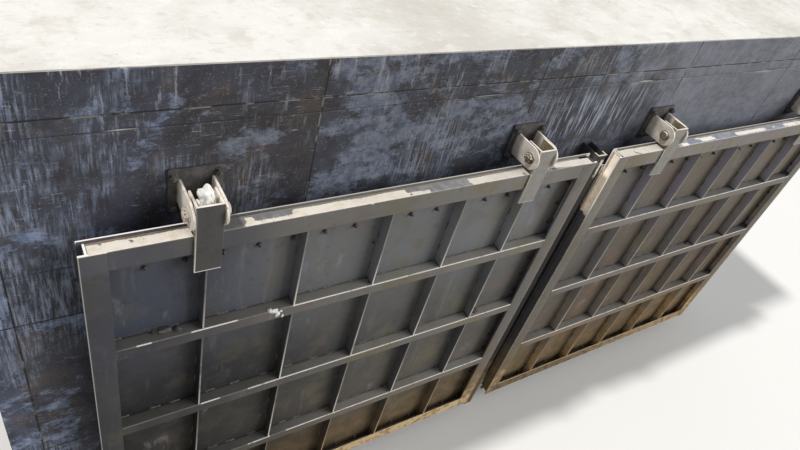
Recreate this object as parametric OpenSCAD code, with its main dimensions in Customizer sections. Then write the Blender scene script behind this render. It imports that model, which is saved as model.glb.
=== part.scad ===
// Twin flap sluice gate on a small concrete headworks: two top-hinged steel
// leaves side by side, each closing one water passage.
// Frame: X along the gate, Y into the wall, Z up. The origin is the middle of
// the underside of the base slab. The leaves are on the -Y side.

/* [Leaf] */
// Distance between neighbouring vertical ribs of a leaf
rib_pitch = 445; // [400:1:480]
// Number of bays between the side webs of a leaf
bays = 6; // [5:1:8]
// Height of a leaf's frame
leaf_h = 2495; // [2450:1:2600]
// Depth of the webs, stringers and ribs behind the leaf's front plane
web_d = 65; // [50:1:90]
// Width of the front flange of the rails and stiles
flange_w = 100; // [80:1:120]
// Thickness of the rolled steel of the leaf's frame
frame_t = 8; // [6:1:12]
// Thickness of the vertical ribs
rib_t = 8; // [5:1:12]
// How far a stile's front flange stands out past its web
stile_lip = 25; // [10:1:40]
// Height of the front leg of the stringers
stringer_leg = 65; // [50:1:90]
// Depth of the first stringer's top edge below the leaf's top
first_stringer = 600; // [450:5:700]
// Distance between stringers
stringer_pitch = 620; // [500:5:660]
// Thickness of the skin plate
skin_t = 6; // [4:1:10]
// How far the skin plate stands above and below the frame
skin_over_z = 14; // [5:1:25]
// How far the skin plate stands out past the side webs
skin_over_x = 20; // [5:1:40]

/* [Seal and seat] */
// Width of the rubber seal strip
seal_w = 60; // [40:1:80]
// Thickness of the rubber seal strip
seal_t = 12; // [8:1:20]
// Gap between the seal and its seat with the leaf closed
seal_gap = 5; // [5:1:10]
// Face width of the seat frame's members
seat_w = 100; // [80:1:120]
// How far the seat frame stands out from the wall
seat_d = 100; // [60:1:140]
// Thickness of the seat frame's plates
seat_t = 10; // [6:1:16]

/* [Hinges] */
// Width of a hanger over its cheeks
hanger_w = 112; // [90:1:150]
// Thickness of the strap, cheek and ear plates
hinge_plate_t = 10; // [8:1:16]
// Height of a hanger's top above the leaf's top
hanger_top = 152; // [140:1:170]
// Length of the strap below the leaf's top
strap_drop = 200; // [150:1:300]
// Depth of the cheeks behind the leaf's front plane
cheek_d = 97; // [80:1:110]
// Distance of the pin behind the leaf's front plane
pin_y = 38; // [30:1:60]
// Height of the pin above the leaf's top
pin_z = 85; // [84:1:96]
// Radius of the hinge pin
pin_r = 20; // [14:0.5:26]
// Radial running clearance of the pin
pin_clearance = 0.08; // [0.02:0.01:0.1]
// Radius of the washers under the pin's head and nut
pin_washer_r = 33; // [28:1:40]
// Thickness of those washers
pin_washer_t = 4; // [3:1:6]
// Radius of the pin's head and of its nut
pin_head_r = 26; // [22:1:30]
// Thickness of the pin's head and of its nut
pin_head_t = 16; // [8:1:20]
// Radius of the rounded nose of an ear
ear_r = 65; // [50:1:66]
// Gap between a cheek and the ear beside it
ear_gap = 5; // [5:1:10]
// Height and width of the wall plate that carries the ears
wall_plate = 220; // [180:5:260]
// Thickness of that wall plate
wall_plate_t = 12; // [8:1:20]

/* [Centre post] */
// Width of the hollow post between the leaves
post_w = 70; // [50:1:120]
// Distance of the post's front face behind the leaf's front plane
post_face = 50; // [20:1:80]
// Wall thickness of the post
post_t = 6; // [4:1:10]
// Depth of the post's top below the leaf's top
post_drop = 4; // [1:1:100]

/* [Concrete] */
// How far a closed leaf laps over each side of its water passage
side_lap = 104; // [90:1:130]
// How far a closed leaf laps over the top of its passage
top_lap = 236; // [200:1:260]
// How far a closed leaf reaches below the floor of its passage
sill_lap = 105; // [95:1:120]
// Distance between the side webs of neighbouring leaves
leaf_gap = 250; // [200:5:400]
// Thickness of the abutments outside the passages
abutment_t = 500; // [350:10:700]
// Depth of the structure along the water's flow
structure_d = 1200; // [900:10:2000]
// Thickness of the base slab
base_t = 250; // [200:5:400]
// Thickness of the deck slab
deck_t = 250; // [150:5:350]
// Height of the deck above the leaf's top
deck_rise = 640; // [450:5:800]

/* [Hidden] */

$fn = 64;
steel = "#5c5b57";
rusty = "#5a4436";
rubber = "#1c1c1c";
concrete = "#cfc9bd";

// Sizes of a leaf
leaf_w = bays * rib_pitch;
stile_in = flange_w - stile_lip;
stringer_tops = [for (i = [0:2]) -first_stringer - i * stringer_pitch];

// Levels and places in the whole structure
wall_y = -structure_d / 2;
stand_off = web_d + skin_t + seal_t + seal_gap + seat_d;
leaf_y = wall_y - stand_off;
passage_w = leaf_w - 2 * side_lap;
passage_h = leaf_h - top_lap - sill_lap;
passage_floor = base_t;
passage_top = passage_floor + passage_h;
leaf_top = passage_floor - sill_lap + leaf_h;
deck_top = leaf_top + deck_rise;
deck_under = deck_top - deck_t;
left_leaf_x = -leaf_gap / 2 - leaf_w;
right_leaf_x = leaf_gap / 2;
leaf_centre = (leaf_gap + leaf_w) / 2;
pier_w = 2 * leaf_centre - passage_w;
structure_w = 2 * leaf_centre + passage_w + 2 * abutment_t;

// Places of the four hinges along X, from the left
hinge_inset = rib_pitch;
hinge_xs = [
    left_leaf_x + hinge_inset, left_leaf_x + leaf_w - hinge_inset,
    right_leaf_x + hinge_inset, right_leaf_x + leaf_w - hinge_inset
];
ear_in = hanger_w / 2 + ear_gap;
ear_out = ear_in + hinge_plate_t;

// A box from one corner to the other
module span(a, b) {
    translate(a)
        cube(b - a);
}

// A round bar along X, centred on x = 0
module bar_x(r, length) {
    rotate([0, 90, 0])
        cylinder(r = r, h = length, center = true);
}

module in_leaf(x) {
    translate([x, leaf_y, leaf_top])
        children();
}

module mirrored_leaf() {
    mirror([1, 0, 0])
        children();
}

// Leaf pieces, drawn with the outer side web at x = 0, the front plane at
// y = 0 and the frame's top at z = 0.

module skin_plate_shape() {
    span([-skin_over_x, web_d, -leaf_h - skin_over_z],
         [leaf_w + skin_over_x, web_d + skin_t, skin_over_z]);
}

// Angle with its web flat at z = 0 and its front leg hanging down from it
module rail_shape(leg) {
    span([frame_t, frame_t, -frame_t], [leaf_w - frame_t, web_d, 0]);
    span([stile_in, 0, -leg], [leaf_w - stile_in, frame_t, 0]);
}

module bottom_rail_shape() {
    translate([0, 0, -leaf_h])
        mirror([0, 0, 1])
            rail_shape(flange_w);
}

module stile_shape() {
    span([-stile_lip, 0, -leaf_h], [stile_in, frame_t, 0]);
    span([0, frame_t, -leaf_h], [frame_t, web_d, 0]);
}

// Flat bars between rails and stringers, notched round their front legs
module ribs_shape() {
    tops = concat([0], stringer_tops);
    legs = [flange_w, stringer_leg, stringer_leg, stringer_leg];
    for (n = [1:bays - 1], row = [0:3]) {
        last = row == 3;
        bottom = last ? -leaf_h + frame_t : stringer_tops[row];
        front_bottom = last ? -leaf_h + flange_w : bottom;
        translate([n * rib_pitch + rib_t / 2, 0, 0])
            rotate([90, 0, -90])
                linear_extrude(rib_t)
                    polygon([
                        [-web_d, bottom], [-web_d, tops[row] - frame_t], [-frame_t, tops[row] - frame_t],
                        [-frame_t, tops[row] - legs[row]], [0, tops[row] - legs[row]],
                        [0, front_bottom], [-frame_t, front_bottom], [-frame_t, bottom]
                    ]);
    }
}

// Open-topped box: a front strap and two cheeks that stand on the top rail
module hanger_shape() {
    skin_room = 1;
    difference() {
        union() {
            span([-hanger_w / 2, -hinge_plate_t, -strap_drop], [hanger_w / 2, 0, hanger_top]);
            for (side = [-1, 1])
                translate([side * (hanger_w - hinge_plate_t) / 2, 0, 0])
                    span([-hinge_plate_t / 2, 0, 0], [hinge_plate_t / 2, cheek_d, hanger_top]);
        }
        translate([0, pin_y, pin_z])
            bar_x(pin_r + pin_clearance, hanger_w + 2);
        span([-hanger_w, web_d, -skin_room], [hanger_w, web_d + skin_t + skin_room, skin_over_z]);
    }
}

module seal_shape() {
    seat_reach = (seat_w + seal_w) / 2;
    inset = side_lap - seat_reach;
    low = sill_lap - seat_reach;
    high = top_lap - seat_reach;
    difference() {
        span([inset, web_d + skin_t, -leaf_h + low],
             [leaf_w - inset, web_d + skin_t + seal_t, -high]);
        span([inset + seal_w, web_d, -leaf_h + low + seal_w],
             [leaf_w - inset - seal_w, web_d + skin_t + seal_t + 1, -high - seal_w]);
    }
}

// Two ears on a wall plate, with rounded noses round the pin
module bracket_shape() {
    reach = stand_off - pin_y;
    difference() {
        for (side = [-1, 1])
            translate([side * (ear_in + ear_out) / 2, pin_y, pin_z]) {
                bar_x(ear_r, hinge_plate_t);
                span([-hinge_plate_t / 2, 0, -ear_r], [hinge_plate_t / 2, reach - wall_plate_t, ear_r]);
            }
        translate([0, pin_y, pin_z])
            bar_x(pin_r + pin_clearance, 2 * ear_out + 2);
    }
    translate([0, stand_off - wall_plate_t, pin_z])
        span([-wall_plate / 2, 0, -wall_plate / 2], [wall_plate / 2, wall_plate_t, wall_plate / 2]);
}

// Pin with a head on one side and a nut on the other, each on a washer
module pin_shape() {
    translate([0, pin_y, pin_z]) {
        bar_x(pin_r, 2 * (ear_out + pin_washer_t) + 1);
        for (side = [-1, 1]) {
            translate([side * (ear_out + pin_washer_t / 2), 0, 0])
                bar_x(pin_washer_r, pin_washer_t);
            translate([side * (ear_out + pin_washer_t + pin_head_t / 2), 0, 0])
                bar_x(pin_head_r, pin_head_t);
        }
    }
}

module at_hinge(number) {
    translate([hinge_xs[number - 1], leaf_y, leaf_top])
        children();
}

// Rolled angle all round a passage: a face for the seal and a web along the opening
module seat_frame_shape() {
    face_w = passage_w / 2 + seat_w;
    web_w = passage_w / 2 + seat_t;
    difference() {
        union() {
            span([-face_w, -seat_d, passage_floor - seat_w], [face_w, -seat_d + seat_t, passage_top + seat_w]);
            span([-web_w, -seat_d, passage_floor - seat_t], [web_w, 0, passage_top + seat_t]);
        }
        span([-passage_w / 2, -seat_d - 1, passage_floor], [passage_w / 2, 1, passage_top]);
    }
}

// Concrete
module base_slab() {
    color(concrete)
        span([-structure_w / 2, wall_y, 0], [structure_w / 2, -wall_y, base_t]);
}

module wall_block(x, width) {
    color(concrete)
        span([x, wall_y, passage_floor], [x + width, -wall_y, passage_top]);
}

module left_abutment() {
    wall_block(-structure_w / 2, abutment_t);
}

module centre_pier() {
    wall_block(-pier_w / 2, pier_w);
}

module right_abutment() {
    wall_block(structure_w / 2 - abutment_t, abutment_t);
}

module headwall() {
    color(concrete)
        span([-structure_w / 2, wall_y, passage_top], [structure_w / 2, -wall_y, deck_under]);
}

module deck_slab() {
    color(concrete)
        span([-structure_w / 2, wall_y, deck_under], [structure_w / 2, -wall_y, deck_top]);
}

// Fixed steel
module left_seat_frame() {
    color(steel)
        translate([-leaf_centre, wall_y, 0])
            seat_frame_shape();
}

module right_seat_frame() {
    color(steel)
        translate([leaf_centre, wall_y, 0])
            seat_frame_shape();
}

module centre_post() {
    post_top = leaf_top - post_drop;
    post_y = leaf_y + post_face;
    color(rusty)
        difference() {
            span([-post_w / 2, post_y, 0], [post_w / 2, wall_y, post_top]);
            span([-post_w / 2 + post_t, post_y + post_t, -1],
                 [post_w / 2 - post_t, wall_y - post_t, post_top + 1]);
        }
}

module hinge_bracket(number) {
    color(steel)
        at_hinge(number)
            bracket_shape();
}

module hinge_pin(number) {
    color(rusty)
        at_hinge(number)
            pin_shape();
}

// Leaf pieces in place: the right leaf is the mirror image of the left one
module left(tint) {
    color(tint)
        in_leaf(left_leaf_x)
            children();
}

module right(tint) {
    color(tint)
        mirrored_leaf()
            in_leaf(left_leaf_x)
                children();
}

module inner_stile_shape() {
    translate([leaf_w, 0, 0])
        mirror([1, 0, 0])
            stile_shape();
}

module stringer_shape(number) {
    translate([0, 0, stringer_tops[number]])
        rail_shape(stringer_leg);
}

module hanger_at(place) {
    translate([place, 0, 0])
        hanger_shape();
}

base_slab();
left_abutment();
centre_pier();
right_abutment();
headwall();
deck_slab();
left_seat_frame();
right_seat_frame();
centre_post();
hinge_bracket(1);  // hinge_bracket_1
hinge_bracket(2);  // hinge_bracket_2
hinge_bracket(3);  // hinge_bracket_3
hinge_bracket(4);  // hinge_bracket_4
hinge_pin(1);  // hinge_pin_1
hinge_pin(2);  // hinge_pin_2
hinge_pin(3);  // hinge_pin_3
hinge_pin(4);  // hinge_pin_4
left(steel) skin_plate_shape();  // left_skin_plate
left(steel) rail_shape(flange_w);  // left_top_rail
left(steel) bottom_rail_shape();  // left_bottom_rail
left(steel) stile_shape();  // left_outer_stile
left(steel) inner_stile_shape();  // left_inner_stile
left(steel) stringer_shape(0);  // left_upper_stringer
left(steel) stringer_shape(1);  // left_middle_stringer
left(steel) stringer_shape(2);  // left_lower_stringer
left(steel) ribs_shape();  // left_ribs
left(steel) hanger_at(hinge_inset);  // left_outer_hanger
left(steel) hanger_at(leaf_w - hinge_inset);  // left_inner_hanger
left(rubber) seal_shape();  // left_seal
right(steel) skin_plate_shape();  // right_skin_plate
right(steel) rail_shape(flange_w);  // right_top_rail
right(steel) bottom_rail_shape();  // right_bottom_rail
right(steel) stile_shape();  // right_outer_stile
right(steel) inner_stile_shape();  // right_inner_stile
right(steel) stringer_shape(0);  // right_upper_stringer
right(steel) stringer_shape(1);  // right_middle_stringer
right(steel) stringer_shape(2);  // right_lower_stringer
right(steel) ribs_shape();  // right_ribs
right(steel) hanger_at(hinge_inset);  // right_outer_hanger
right(steel) hanger_at(leaf_w - hinge_inset);  // right_inner_hanger
right(rubber) seal_shape();  // right_seal
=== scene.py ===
"""Twin flap sluice gate: the finish, small parts, cement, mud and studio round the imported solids."""

import math
import random

import bmesh
import bpy
from bpy.props import FloatProperty, FloatVectorProperty, IntProperty, PointerProperty
from mathutils import Matrix, Vector, noise


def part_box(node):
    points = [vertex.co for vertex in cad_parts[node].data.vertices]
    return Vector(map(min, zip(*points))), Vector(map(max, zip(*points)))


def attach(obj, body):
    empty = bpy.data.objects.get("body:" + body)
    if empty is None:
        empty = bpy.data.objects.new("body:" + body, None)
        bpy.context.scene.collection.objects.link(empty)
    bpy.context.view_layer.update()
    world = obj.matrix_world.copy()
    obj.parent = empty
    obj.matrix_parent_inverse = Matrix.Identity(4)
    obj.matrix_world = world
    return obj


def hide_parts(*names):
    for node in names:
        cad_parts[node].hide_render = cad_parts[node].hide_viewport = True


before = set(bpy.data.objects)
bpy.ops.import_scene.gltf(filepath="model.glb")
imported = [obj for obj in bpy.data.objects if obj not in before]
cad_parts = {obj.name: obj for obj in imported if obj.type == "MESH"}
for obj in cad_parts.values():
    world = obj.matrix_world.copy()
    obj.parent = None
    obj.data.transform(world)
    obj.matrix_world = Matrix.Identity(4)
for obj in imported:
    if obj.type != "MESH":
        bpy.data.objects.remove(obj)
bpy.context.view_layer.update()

bl_info = {
    "name": "Twin flap sluice gate",
    "version": (1, 0, 0),
    "blender": (4, 5, 0),
    "location": "View3D > Sidebar > Sluice gate",
    "description": "Dresses two flap gates and their concrete headworks",
    "category": "Object",
}


def screen(red, green, blue):
    """Linear colour of a colour as it looks on screen, from 0 to 255"""
    return tuple(((c / 255 + 0.055) / 1.055) ** 2.4 for c in (red, green, blue))


def colour_setting(name, description, red, green, blue):
    return FloatVectorProperty(name=name, description=description, subtype="COLOR", size=3, min=0, max=1,
                               default=screen(red, green, blue))


def length_setting(name, description, default):
    return FloatProperty(name=name, description=description, unit="LENGTH", min=0, default=default)


class SluiceSizes(bpy.types.PropertyGroup):
    """Sizes of the small parts and of the wear"""
    plate_round: length_setting("Plate edge", "Rounding of sawn and sheared plate edges", 0.0012)
    root_round: length_setting("Root fillet", "Fillet between the legs of a rolled angle", 0.008)
    toe_round: length_setting("Toe rounding", "Rounding at the toes of a rolled angle", 0.004)
    heel_strip: length_setting("Heel strip", "Width of the bright strip along a stringer's heel", 0.0042)
    plate_wave: length_setting("Plate wave", "How far the skin plate bulges between ribs", 0.0016)
    weld_leg: length_setting("Weld leg", "Leg of a fillet weld", 0.006)
    weld_ripple: length_setting("Weld ripple", "Distance between ripples of a weld", 0.005)
    stitch: length_setting("Stitch", "Length of an intermittent weld", 0.055)
    nut_width: length_setting("Nut width", "Seal nut across its flats", 0.018)
    nut_pitch: length_setting("Nut pitch", "Distance between neighbouring seal nuts", 0.160)
    nut_inset: length_setting("Nut inset", "From the seal's outer edge to its nuts", 0.030)
    anchor_width: length_setting("Anchor nut width", "Wall plate nut across its flats", 0.030)
    cement_thick: length_setting("Cement thickness", "Usual thickness of the cement on the top rails", 0.0014)
    edge_chip: length_setting("Concrete arris", "Usual rounding of a concrete edge", 0.005)
    wall_wave: length_setting("Wall wave", "Unevenness of a cast face", 0.0012)
    panel_width: length_setting("Shutter panel width", "Width of the panels that the front was cast in", 1.22)
    panel_height: length_setting("Shutter panel height", "Height of those panels", 0.98)
    seed: IntProperty(name="Seed", description="Start of the random draws", min=0, default=7)


class SluiceColours(bpy.types.PropertyGroup):
    """Colours of the gate's materials"""
    # The cool steel is bluish primer, made darker than the grey as painted shade over the left of the gate
    steel_cool_shaded: colour_setting("Cool steel", "Bluish primer at the left", 69, 71, 80)
    steel_grey: colour_setting("Grey steel", "Plain primer in the middle", 113, 111, 108)
    steel_brown: colour_setting("Brown steel", "Silty primer on the right leaf", 110, 103, 95)
    steel_olive: colour_setting("Olive steel", "Brown-green film on the primer", 100, 95, 80)
    grime: colour_setting("Grime", "Dark film in corners and on bolts", 46, 45, 42)
    cement: colour_setting("Cement", "Hardened cement slurry", 236, 228, 215)
    mud: colour_setting("Mud", "Dried channel mud", 128, 106, 77)
    rust: colour_setting("Rust", "Bright rust", 150, 92, 52)
    rust_plain: colour_setting("Plain rust", "Dull rust on the pins and the post", 84, 68, 52)
    rust_dark: colour_setting("Dark rust", "Old rust", 54, 43, 35)
    concrete_pale: colour_setting("Pale concrete", "Sun-bleached deck", 232, 230, 224)
    concrete_grey: colour_setting("Grey concrete", "Side and back faces", 176, 171, 161)
    concrete_dark: colour_setting("Dark concrete", "Film left on the front by its shutters", 52, 51, 56)
    rubber: colour_setting("Rubber", "Seal strip", 26, 26, 26)
    floor: colour_setting("Floor", "Studio floor", 232, 231, 228)


def sizes():
    return bpy.context.scene.sluice_sizes


def colours():
    return bpy.context.scene.sluice_colours


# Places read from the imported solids

AXIS_X, AXIS_Y = 0, 1
SIDES = ("left", "right")
STRINGERS = ("upper_stringer", "middle_stringer", "lower_stringer")
HANGERS = ("outer_hanger", "inner_hanger")


def levels(node, axis):
    """Every place along an axis where a node has a corner"""
    return sorted({round(v.co[axis], 5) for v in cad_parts[node].data.vertices})


def hinge_centre(number):
    low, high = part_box(f"hinge_pin_{number}")
    return (low + high) / 2


class Leaf:
    """Places on a leaf: u from its outer side web, v back from its front plane, w up from its frame's top"""

    def __init__(self, side):
        rail_x, rail_y = levels("left_top_rail", AXIS_X), levels("left_top_rail", AXIS_Y)
        self.side = side
        self.body = side + "_leaf"
        self.turn = 1 if side == "left" else -1
        self.steel = rail_y[1] - rail_y[0]
        self.web = rail_x[0] - self.steel
        self.stile_in = rail_x[1] - self.web
        self.width = rail_x[-1] + self.steel - self.web
        self.depth = rail_y[-1] - rail_y[0]
        self.front = rail_y[0]
        stile_low, stile_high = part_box("left_outer_stile")
        self.lip = self.web - stile_low.x
        self.top = stile_high.z
        self.height = stile_high.z - stile_low.z
        edges = levels("left_ribs", AXIS_X)
        self.rib_t = edges[1] - edges[0]
        self.ribs = [(a + b) / 2 - self.web for a, b in zip(edges[::2], edges[1::2])]
        self.stringers = [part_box("left_" + name)[1].z - self.top for name in STRINGERS]
        self.stringer_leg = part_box("left_upper_stringer")[1].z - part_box("left_upper_stringer")[0].z
        self.rail_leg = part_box("left_top_rail")[1].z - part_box("left_top_rail")[0].z
        hangers = [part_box("left_" + name) for name in HANGERS]
        self.hanger_us = [(low.x + high.x) / 2 - self.web for low, high in hangers]
        self.hanger_w = hangers[0][1].x - hangers[0][0].x

    def at(self, u, v, w):
        return Vector((self.turn * (self.web + u), self.front + v, self.top + w))

    def name(self, piece):
        return f"{self.side}_{piece}"


def as_is(x, y, z):
    """Places on the headworks are plain X, Y and Z"""
    return Vector((x, y, z))


# Mesh building

def rounded(corners, steps=4):
    """Closed outline through (a, b, radius) corners, each turned into an arc"""
    outline = []
    for n, (a, b, radius) in enumerate(corners):
        here = Vector((a, b))
        if radius == 0:
            outline.append(here)
            continue
        back = (Vector(corners[n - 1][:2]) - here).normalized()
        ahead = (Vector(corners[(n + 1) % len(corners)][:2]) - here).normalized()
        half = back.angle(ahead) / 2
        centre = here + (back + ahead).normalized() * radius / math.sin(half)
        first = here + back * radius / math.tan(half) - centre
        last = here + ahead * radius / math.tan(half) - centre
        outline += [centre + first.lerp(last, k / steps).normalized() * radius for k in range(steps + 1)]
    return outline


def loft(bm, rings):
    """A closed solid through rings of points that all have the same count"""
    made = [[bm.verts.new(p) for p in ring] for ring in rings]
    count = len(made[0])
    for ring, following in zip(made, made[1:]):
        for n in range(count):
            m = (n + 1) % count
            bm.faces.new((ring[n], ring[m], following[m], following[n]))
    bm.faces.new(made[0])
    bm.faces.new(made[-1])
    return made


def polar(centre, axis):
    """Gives the place at a distance along an axis, a radius and an angle round it"""
    axis = Vector(axis).normalized()
    across = axis.orthogonal().normalized()
    other = axis.cross(across)

    def place(along, radius, angle):
        return Vector(centre) + axis * along + (across * math.cos(angle) + other * math.sin(angle)) * radius
    return place


def turned(bm, at, centre, axis, profile, sides=24, spin=0.0):
    """A turned part: profile lists (distance along the axis, radius), and six sides make a hexagon"""
    place = polar(centre, axis)
    angles = [spin + 2 * math.pi * n / sides for n in range(sides)]
    loft(bm, [[at(*place(along, radius, angle)) for angle in angles] for along, radius in profile])


def tube(bm, at, points, radius, sides=8):
    """A round bar bent through a flat row of points"""
    points = [Vector(p) for p in points]
    flat = (points[1] - points[0]).cross(points[-1] - points[0])
    if flat.length < 1e-9:
        flat = (points[1] - points[0]).orthogonal()
    flat.normalize()
    rings = []
    for n, p in enumerate(points):
        along = (points[min(n + 1, len(points) - 1)] - points[max(n - 1, 0)]).normalized()
        side = along.cross(flat).normalized()
        angles = [2 * math.pi * k / sides for k in range(sides)]
        rings.append([at(*(p + (flat * math.cos(t) + side * math.sin(t)) * radius)) for t in angles])
    loft(bm, rings)


def soften(bm, width, segments=2, angle=35):
    """Rounds every sharp edge"""
    sharp = [e for e in bm.edges if len(e.link_faces) == 2 and e.calc_face_angle() > math.radians(angle)]
    bmesh.ops.bevel(bm, geom=sharp, offset=width, segments=segments, profile=0.6, affect="EDGES",
                    clamp_overlap=True)


def cut(bm, point, normal):
    """Splits a mesh where a plane passes through it"""
    bmesh.ops.bisect_plane(bm, geom=bm.verts[:] + bm.edges[:] + bm.faces[:], plane_co=point, plane_no=normal)


def piece(name, body, draw, slot, look, smooth=40, replaced=()):
    """Makes a mesh piece from a drawing function, hands it to its body and gives it its finish; the slot is
    not used
    """
    bm = bmesh.new()
    bm.verts.layers.float.new("wear")
    draw(bm)
    bmesh.ops.recalc_face_normals(bm, faces=bm.faces)
    mesh = bpy.data.meshes.new(name)
    bm.to_mesh(mesh)
    bm.free()
    mesh.shade_smooth()
    mesh.set_sharp_from_angle(angle=math.radians(smooth))
    obj = bpy.data.objects.new(name, mesh)
    bpy.context.scene.collection.objects.link(obj)
    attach(obj, body)
    if replaced:
        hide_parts(*replaced)
    mesh.materials.append(finish(look))


def recut(node, width, segments=2, extra=None):
    """Draws a node's own solid with its edges rounded"""
    def draw(bm):
        bm.from_mesh(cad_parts[node].data)
        bmesh.ops.remove_doubles(bm, verts=bm.verts, dist=1e-5)
        bmesh.ops.dissolve_limit(bm, angle_limit=math.radians(2), verts=bm.verts, edges=bm.edges)
        soften(bm, width, segments)
        if extra:
            extra(bm)
    return draw


def lumps(a, b, size, seed):
    """Noise from -1 to 1 whose lumps are about size across"""
    return noise.noise(Vector((a / size, b / size, seed * 7.31)))


def stations(start, end, step):
    count = max(1, round(abs(end - start) / step))
    return [start + (end - start) * n / count for n in range(count + 1)]


# Materials

class Finish:
    """One procedural material, put together through short calls"""

    def __init__(self, name):
        self.material = bpy.data.materials.new(name)
        self.material.use_nodes = True
        self.tree = self.material.node_tree
        self.surface = self.tree.nodes["Principled BSDF"]
        where = self.add("ShaderNodeTexCoord")
        self.place = where.outputs["Object"]
        self.x, self.y, self.z = self.split(self.place)
        self.facing = self.split(where.outputs["Normal"])

    def add(self, kind, **choices):
        node = self.tree.nodes.new(kind)
        for key, value in choices.items():
            setattr(node, key, value)
        return node

    def feed(self, socket, value):
        """Links a socket, or types in a plain number or colour"""
        if isinstance(value, bpy.types.NodeSocket):
            self.tree.links.new(value, socket)
        elif socket.type == "RGBA":
            socket.default_value = (*value[:3], 1)
        else:
            socket.default_value = value

    def split(self, vector):
        node = self.add("ShaderNodeSeparateXYZ")
        self.feed(node.inputs[0], vector)
        return node.outputs[:]

    def math(self, what, a, b=0.0, clamp=False):
        node = self.add("ShaderNodeMath", operation=what, use_clamp=clamp)
        self.feed(node.inputs[0], a)
        self.feed(node.inputs[1], b)
        return node.outputs[0]

    def times(self, *values):
        total = values[0]
        for value in values[1:]:
            total = self.math("MULTIPLY", total, value)
        return total

    def plus(self, *values):
        total = values[0]
        for value in values[1:]:
            total = self.math("ADD", total, value)
        return total

    def without(self, value):
        return self.math("SUBTRACT", 1.0, value, clamp=True)

    def mix(self, share, under, over):
        node = self.add("ShaderNodeMix", data_type="RGBA")
        self.feed(node.inputs[0], share)
        self.feed(node.inputs[6], under)
        self.feed(node.inputs[7], over)
        return node.outputs[2]

    def pick(self, share, under, over):
        """Between two numbers"""
        return self.plus(self.times(self.without(share), under), self.times(share, over))

    def tint(self, colour, by):
        """A colour multiplied by another"""
        node = self.add("ShaderNodeMix", data_type="RGBA", blend_type="MULTIPLY")
        self.feed(node.inputs[0], 1.0)
        self.feed(node.inputs[6], colour)
        self.feed(node.inputs[7], by)
        return node.outputs[2]

    def shade(self, colour, factor):
        """A colour made darker or lighter by a factor"""
        grey = self.add("ShaderNodeCombineXYZ")
        for socket in grey.inputs:
            self.feed(socket, factor)
        return self.tint(colour, grey.outputs[0])

    def absolute(self, value):
        return self.math("ABSOLUTE", value)

    def tinge(self, share, colour, by):
        """A colour multiplied by another, up to a share"""
        return self.mix(share, colour, self.tint(colour, by))

    def step(self, value, low, high, least=0.0, most=1.0):
        """From least at low to most at high, smooth between"""
        node = self.add("ShaderNodeMapRange", interpolation_type="SMOOTHSTEP")
        for socket, number in zip(node.inputs, (value, low, high, least, most)):
            self.feed(socket, number)
        return node.outputs[0]

    def steps(self, value, *each):
        """Several steps of one value, multiplied"""
        return self.times(*[self.step(value, *numbers) for numbers in each])

    def blend(self, value, low, high, under, over):
        """From one colour at low to another at high"""
        return self.mix(self.step(value, low, high), under, over)

    def layers(self, base, *rows):
        """Lays colours over a base; each row is a value, where the layer starts, where it is full, its share
        and its colour"""
        for value, low, high, share, colour in rows:
            base = self.mix(self.times(self.step(value, low, high), share), base, colour)
        return base

    def relief(self, *rows):
        """Height in metres, from rows of a value and how much it lifts"""
        return self.plus(*[self.times(value, lift) for value, lift in rows])

    def grain(self, size, detail=4.0, rough=0.55, stretch=(1, 1, 1), seed=0.0):
        """Noise whose lumps are about size across, drawn out along each axis by stretch"""
        mapping = self.add("ShaderNodeMapping")
        self.feed(mapping.inputs["Vector"], self.place)
        mapping.inputs["Location"].default_value = (seed, seed * 1.7, seed * 0.6)
        mapping.inputs["Scale"].default_value = [1 / s for s in stretch]
        cloud = self.add("ShaderNodeTexNoise")
        self.feed(cloud.inputs["Vector"], mapping.outputs[0])
        for name, number in (("Scale", 1 / size), ("Detail", detail), ("Roughness", rough)):
            cloud.inputs[name].default_value = number
        return cloud.outputs[0]

    def pits(self, size, seed=0.0):
        """Distance to scattered points about size apart"""
        cells = self.add("ShaderNodeTexVoronoi")
        mapping = self.add("ShaderNodeMapping")
        self.feed(mapping.inputs["Vector"], self.place)
        mapping.inputs["Location"].default_value = (seed, seed, seed)
        self.feed(cells.inputs["Vector"], mapping.outputs[0])
        cells.inputs["Scale"].default_value = 1 / size
        return cells.outputs["Distance"]

    def reading(self, name):
        """A value painted on the mesh's points"""
        return self.add("ShaderNodeAttribute", attribute_name=name).outputs["Fac"]

    def done(self, colour, roughness, height, metallic=0.0):
        """Sets the surface; height is in metres"""
        self.feed(self.surface.inputs["Base Color"], colour)
        self.feed(self.surface.inputs["Roughness"], roughness)
        self.surface.inputs["Metallic"].default_value = metallic
        bump = self.add("ShaderNodeBump")
        bump.inputs["Distance"].default_value = 1.0
        self.feed(bump.inputs["Height"], height)
        self.feed(self.surface.inputs["Normal"], bump.outputs[0])
        return self.material


# Where finishes change, each from none to full: on the leaves' front plane, on faces that look left or up,
# at the first hinge, on the right leaf beyond its inner hanger, and at the height of the top rails
FRONT_PLANE = (-0.780, -0.786)
FACING_LEFT = (-0.6, -0.9)
FACING_UP = (0.5, 0.9)
FIRST_HINGE = (-1.6, -2.2)
FAR_RIGHT = (0.5, 0.7)
RAIL_LEVEL = (2.60, 2.63)


def primer_with_painted_shade(f):
    """Primer that is bluish at the left, brownish on the right leaf, with painted shade that makes it darker
    at the left and below the upper stringer
    """
    c = colours()
    along = f.plus(f.x, f.step(f.grain(0.9, 2), 0.3, 0.7, -0.35, 0.35))
    tone = f.blend(along, -2.9, -1.4, c.steel_cool_shaded, c.steel_grey)
    tone = f.blend(along, -0.4, 0.5, tone, c.steel_brown)
    # Painted shade: darker below the upper stringer, most on the left leaf, least on the front flanges
    depth = f.plus(f.step(f.x, 0.6, -0.7, 0.26, 0.48), f.step(f.x, -1.2, -2.6, 0.0, 0.28))
    depth = f.times(depth, f.step(f.y, *FRONT_PLANE, 1.0, 0.35))
    return f.shade(tone, f.without(f.times(f.step(f.z, 2.2, 1.5), depth)))


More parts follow.
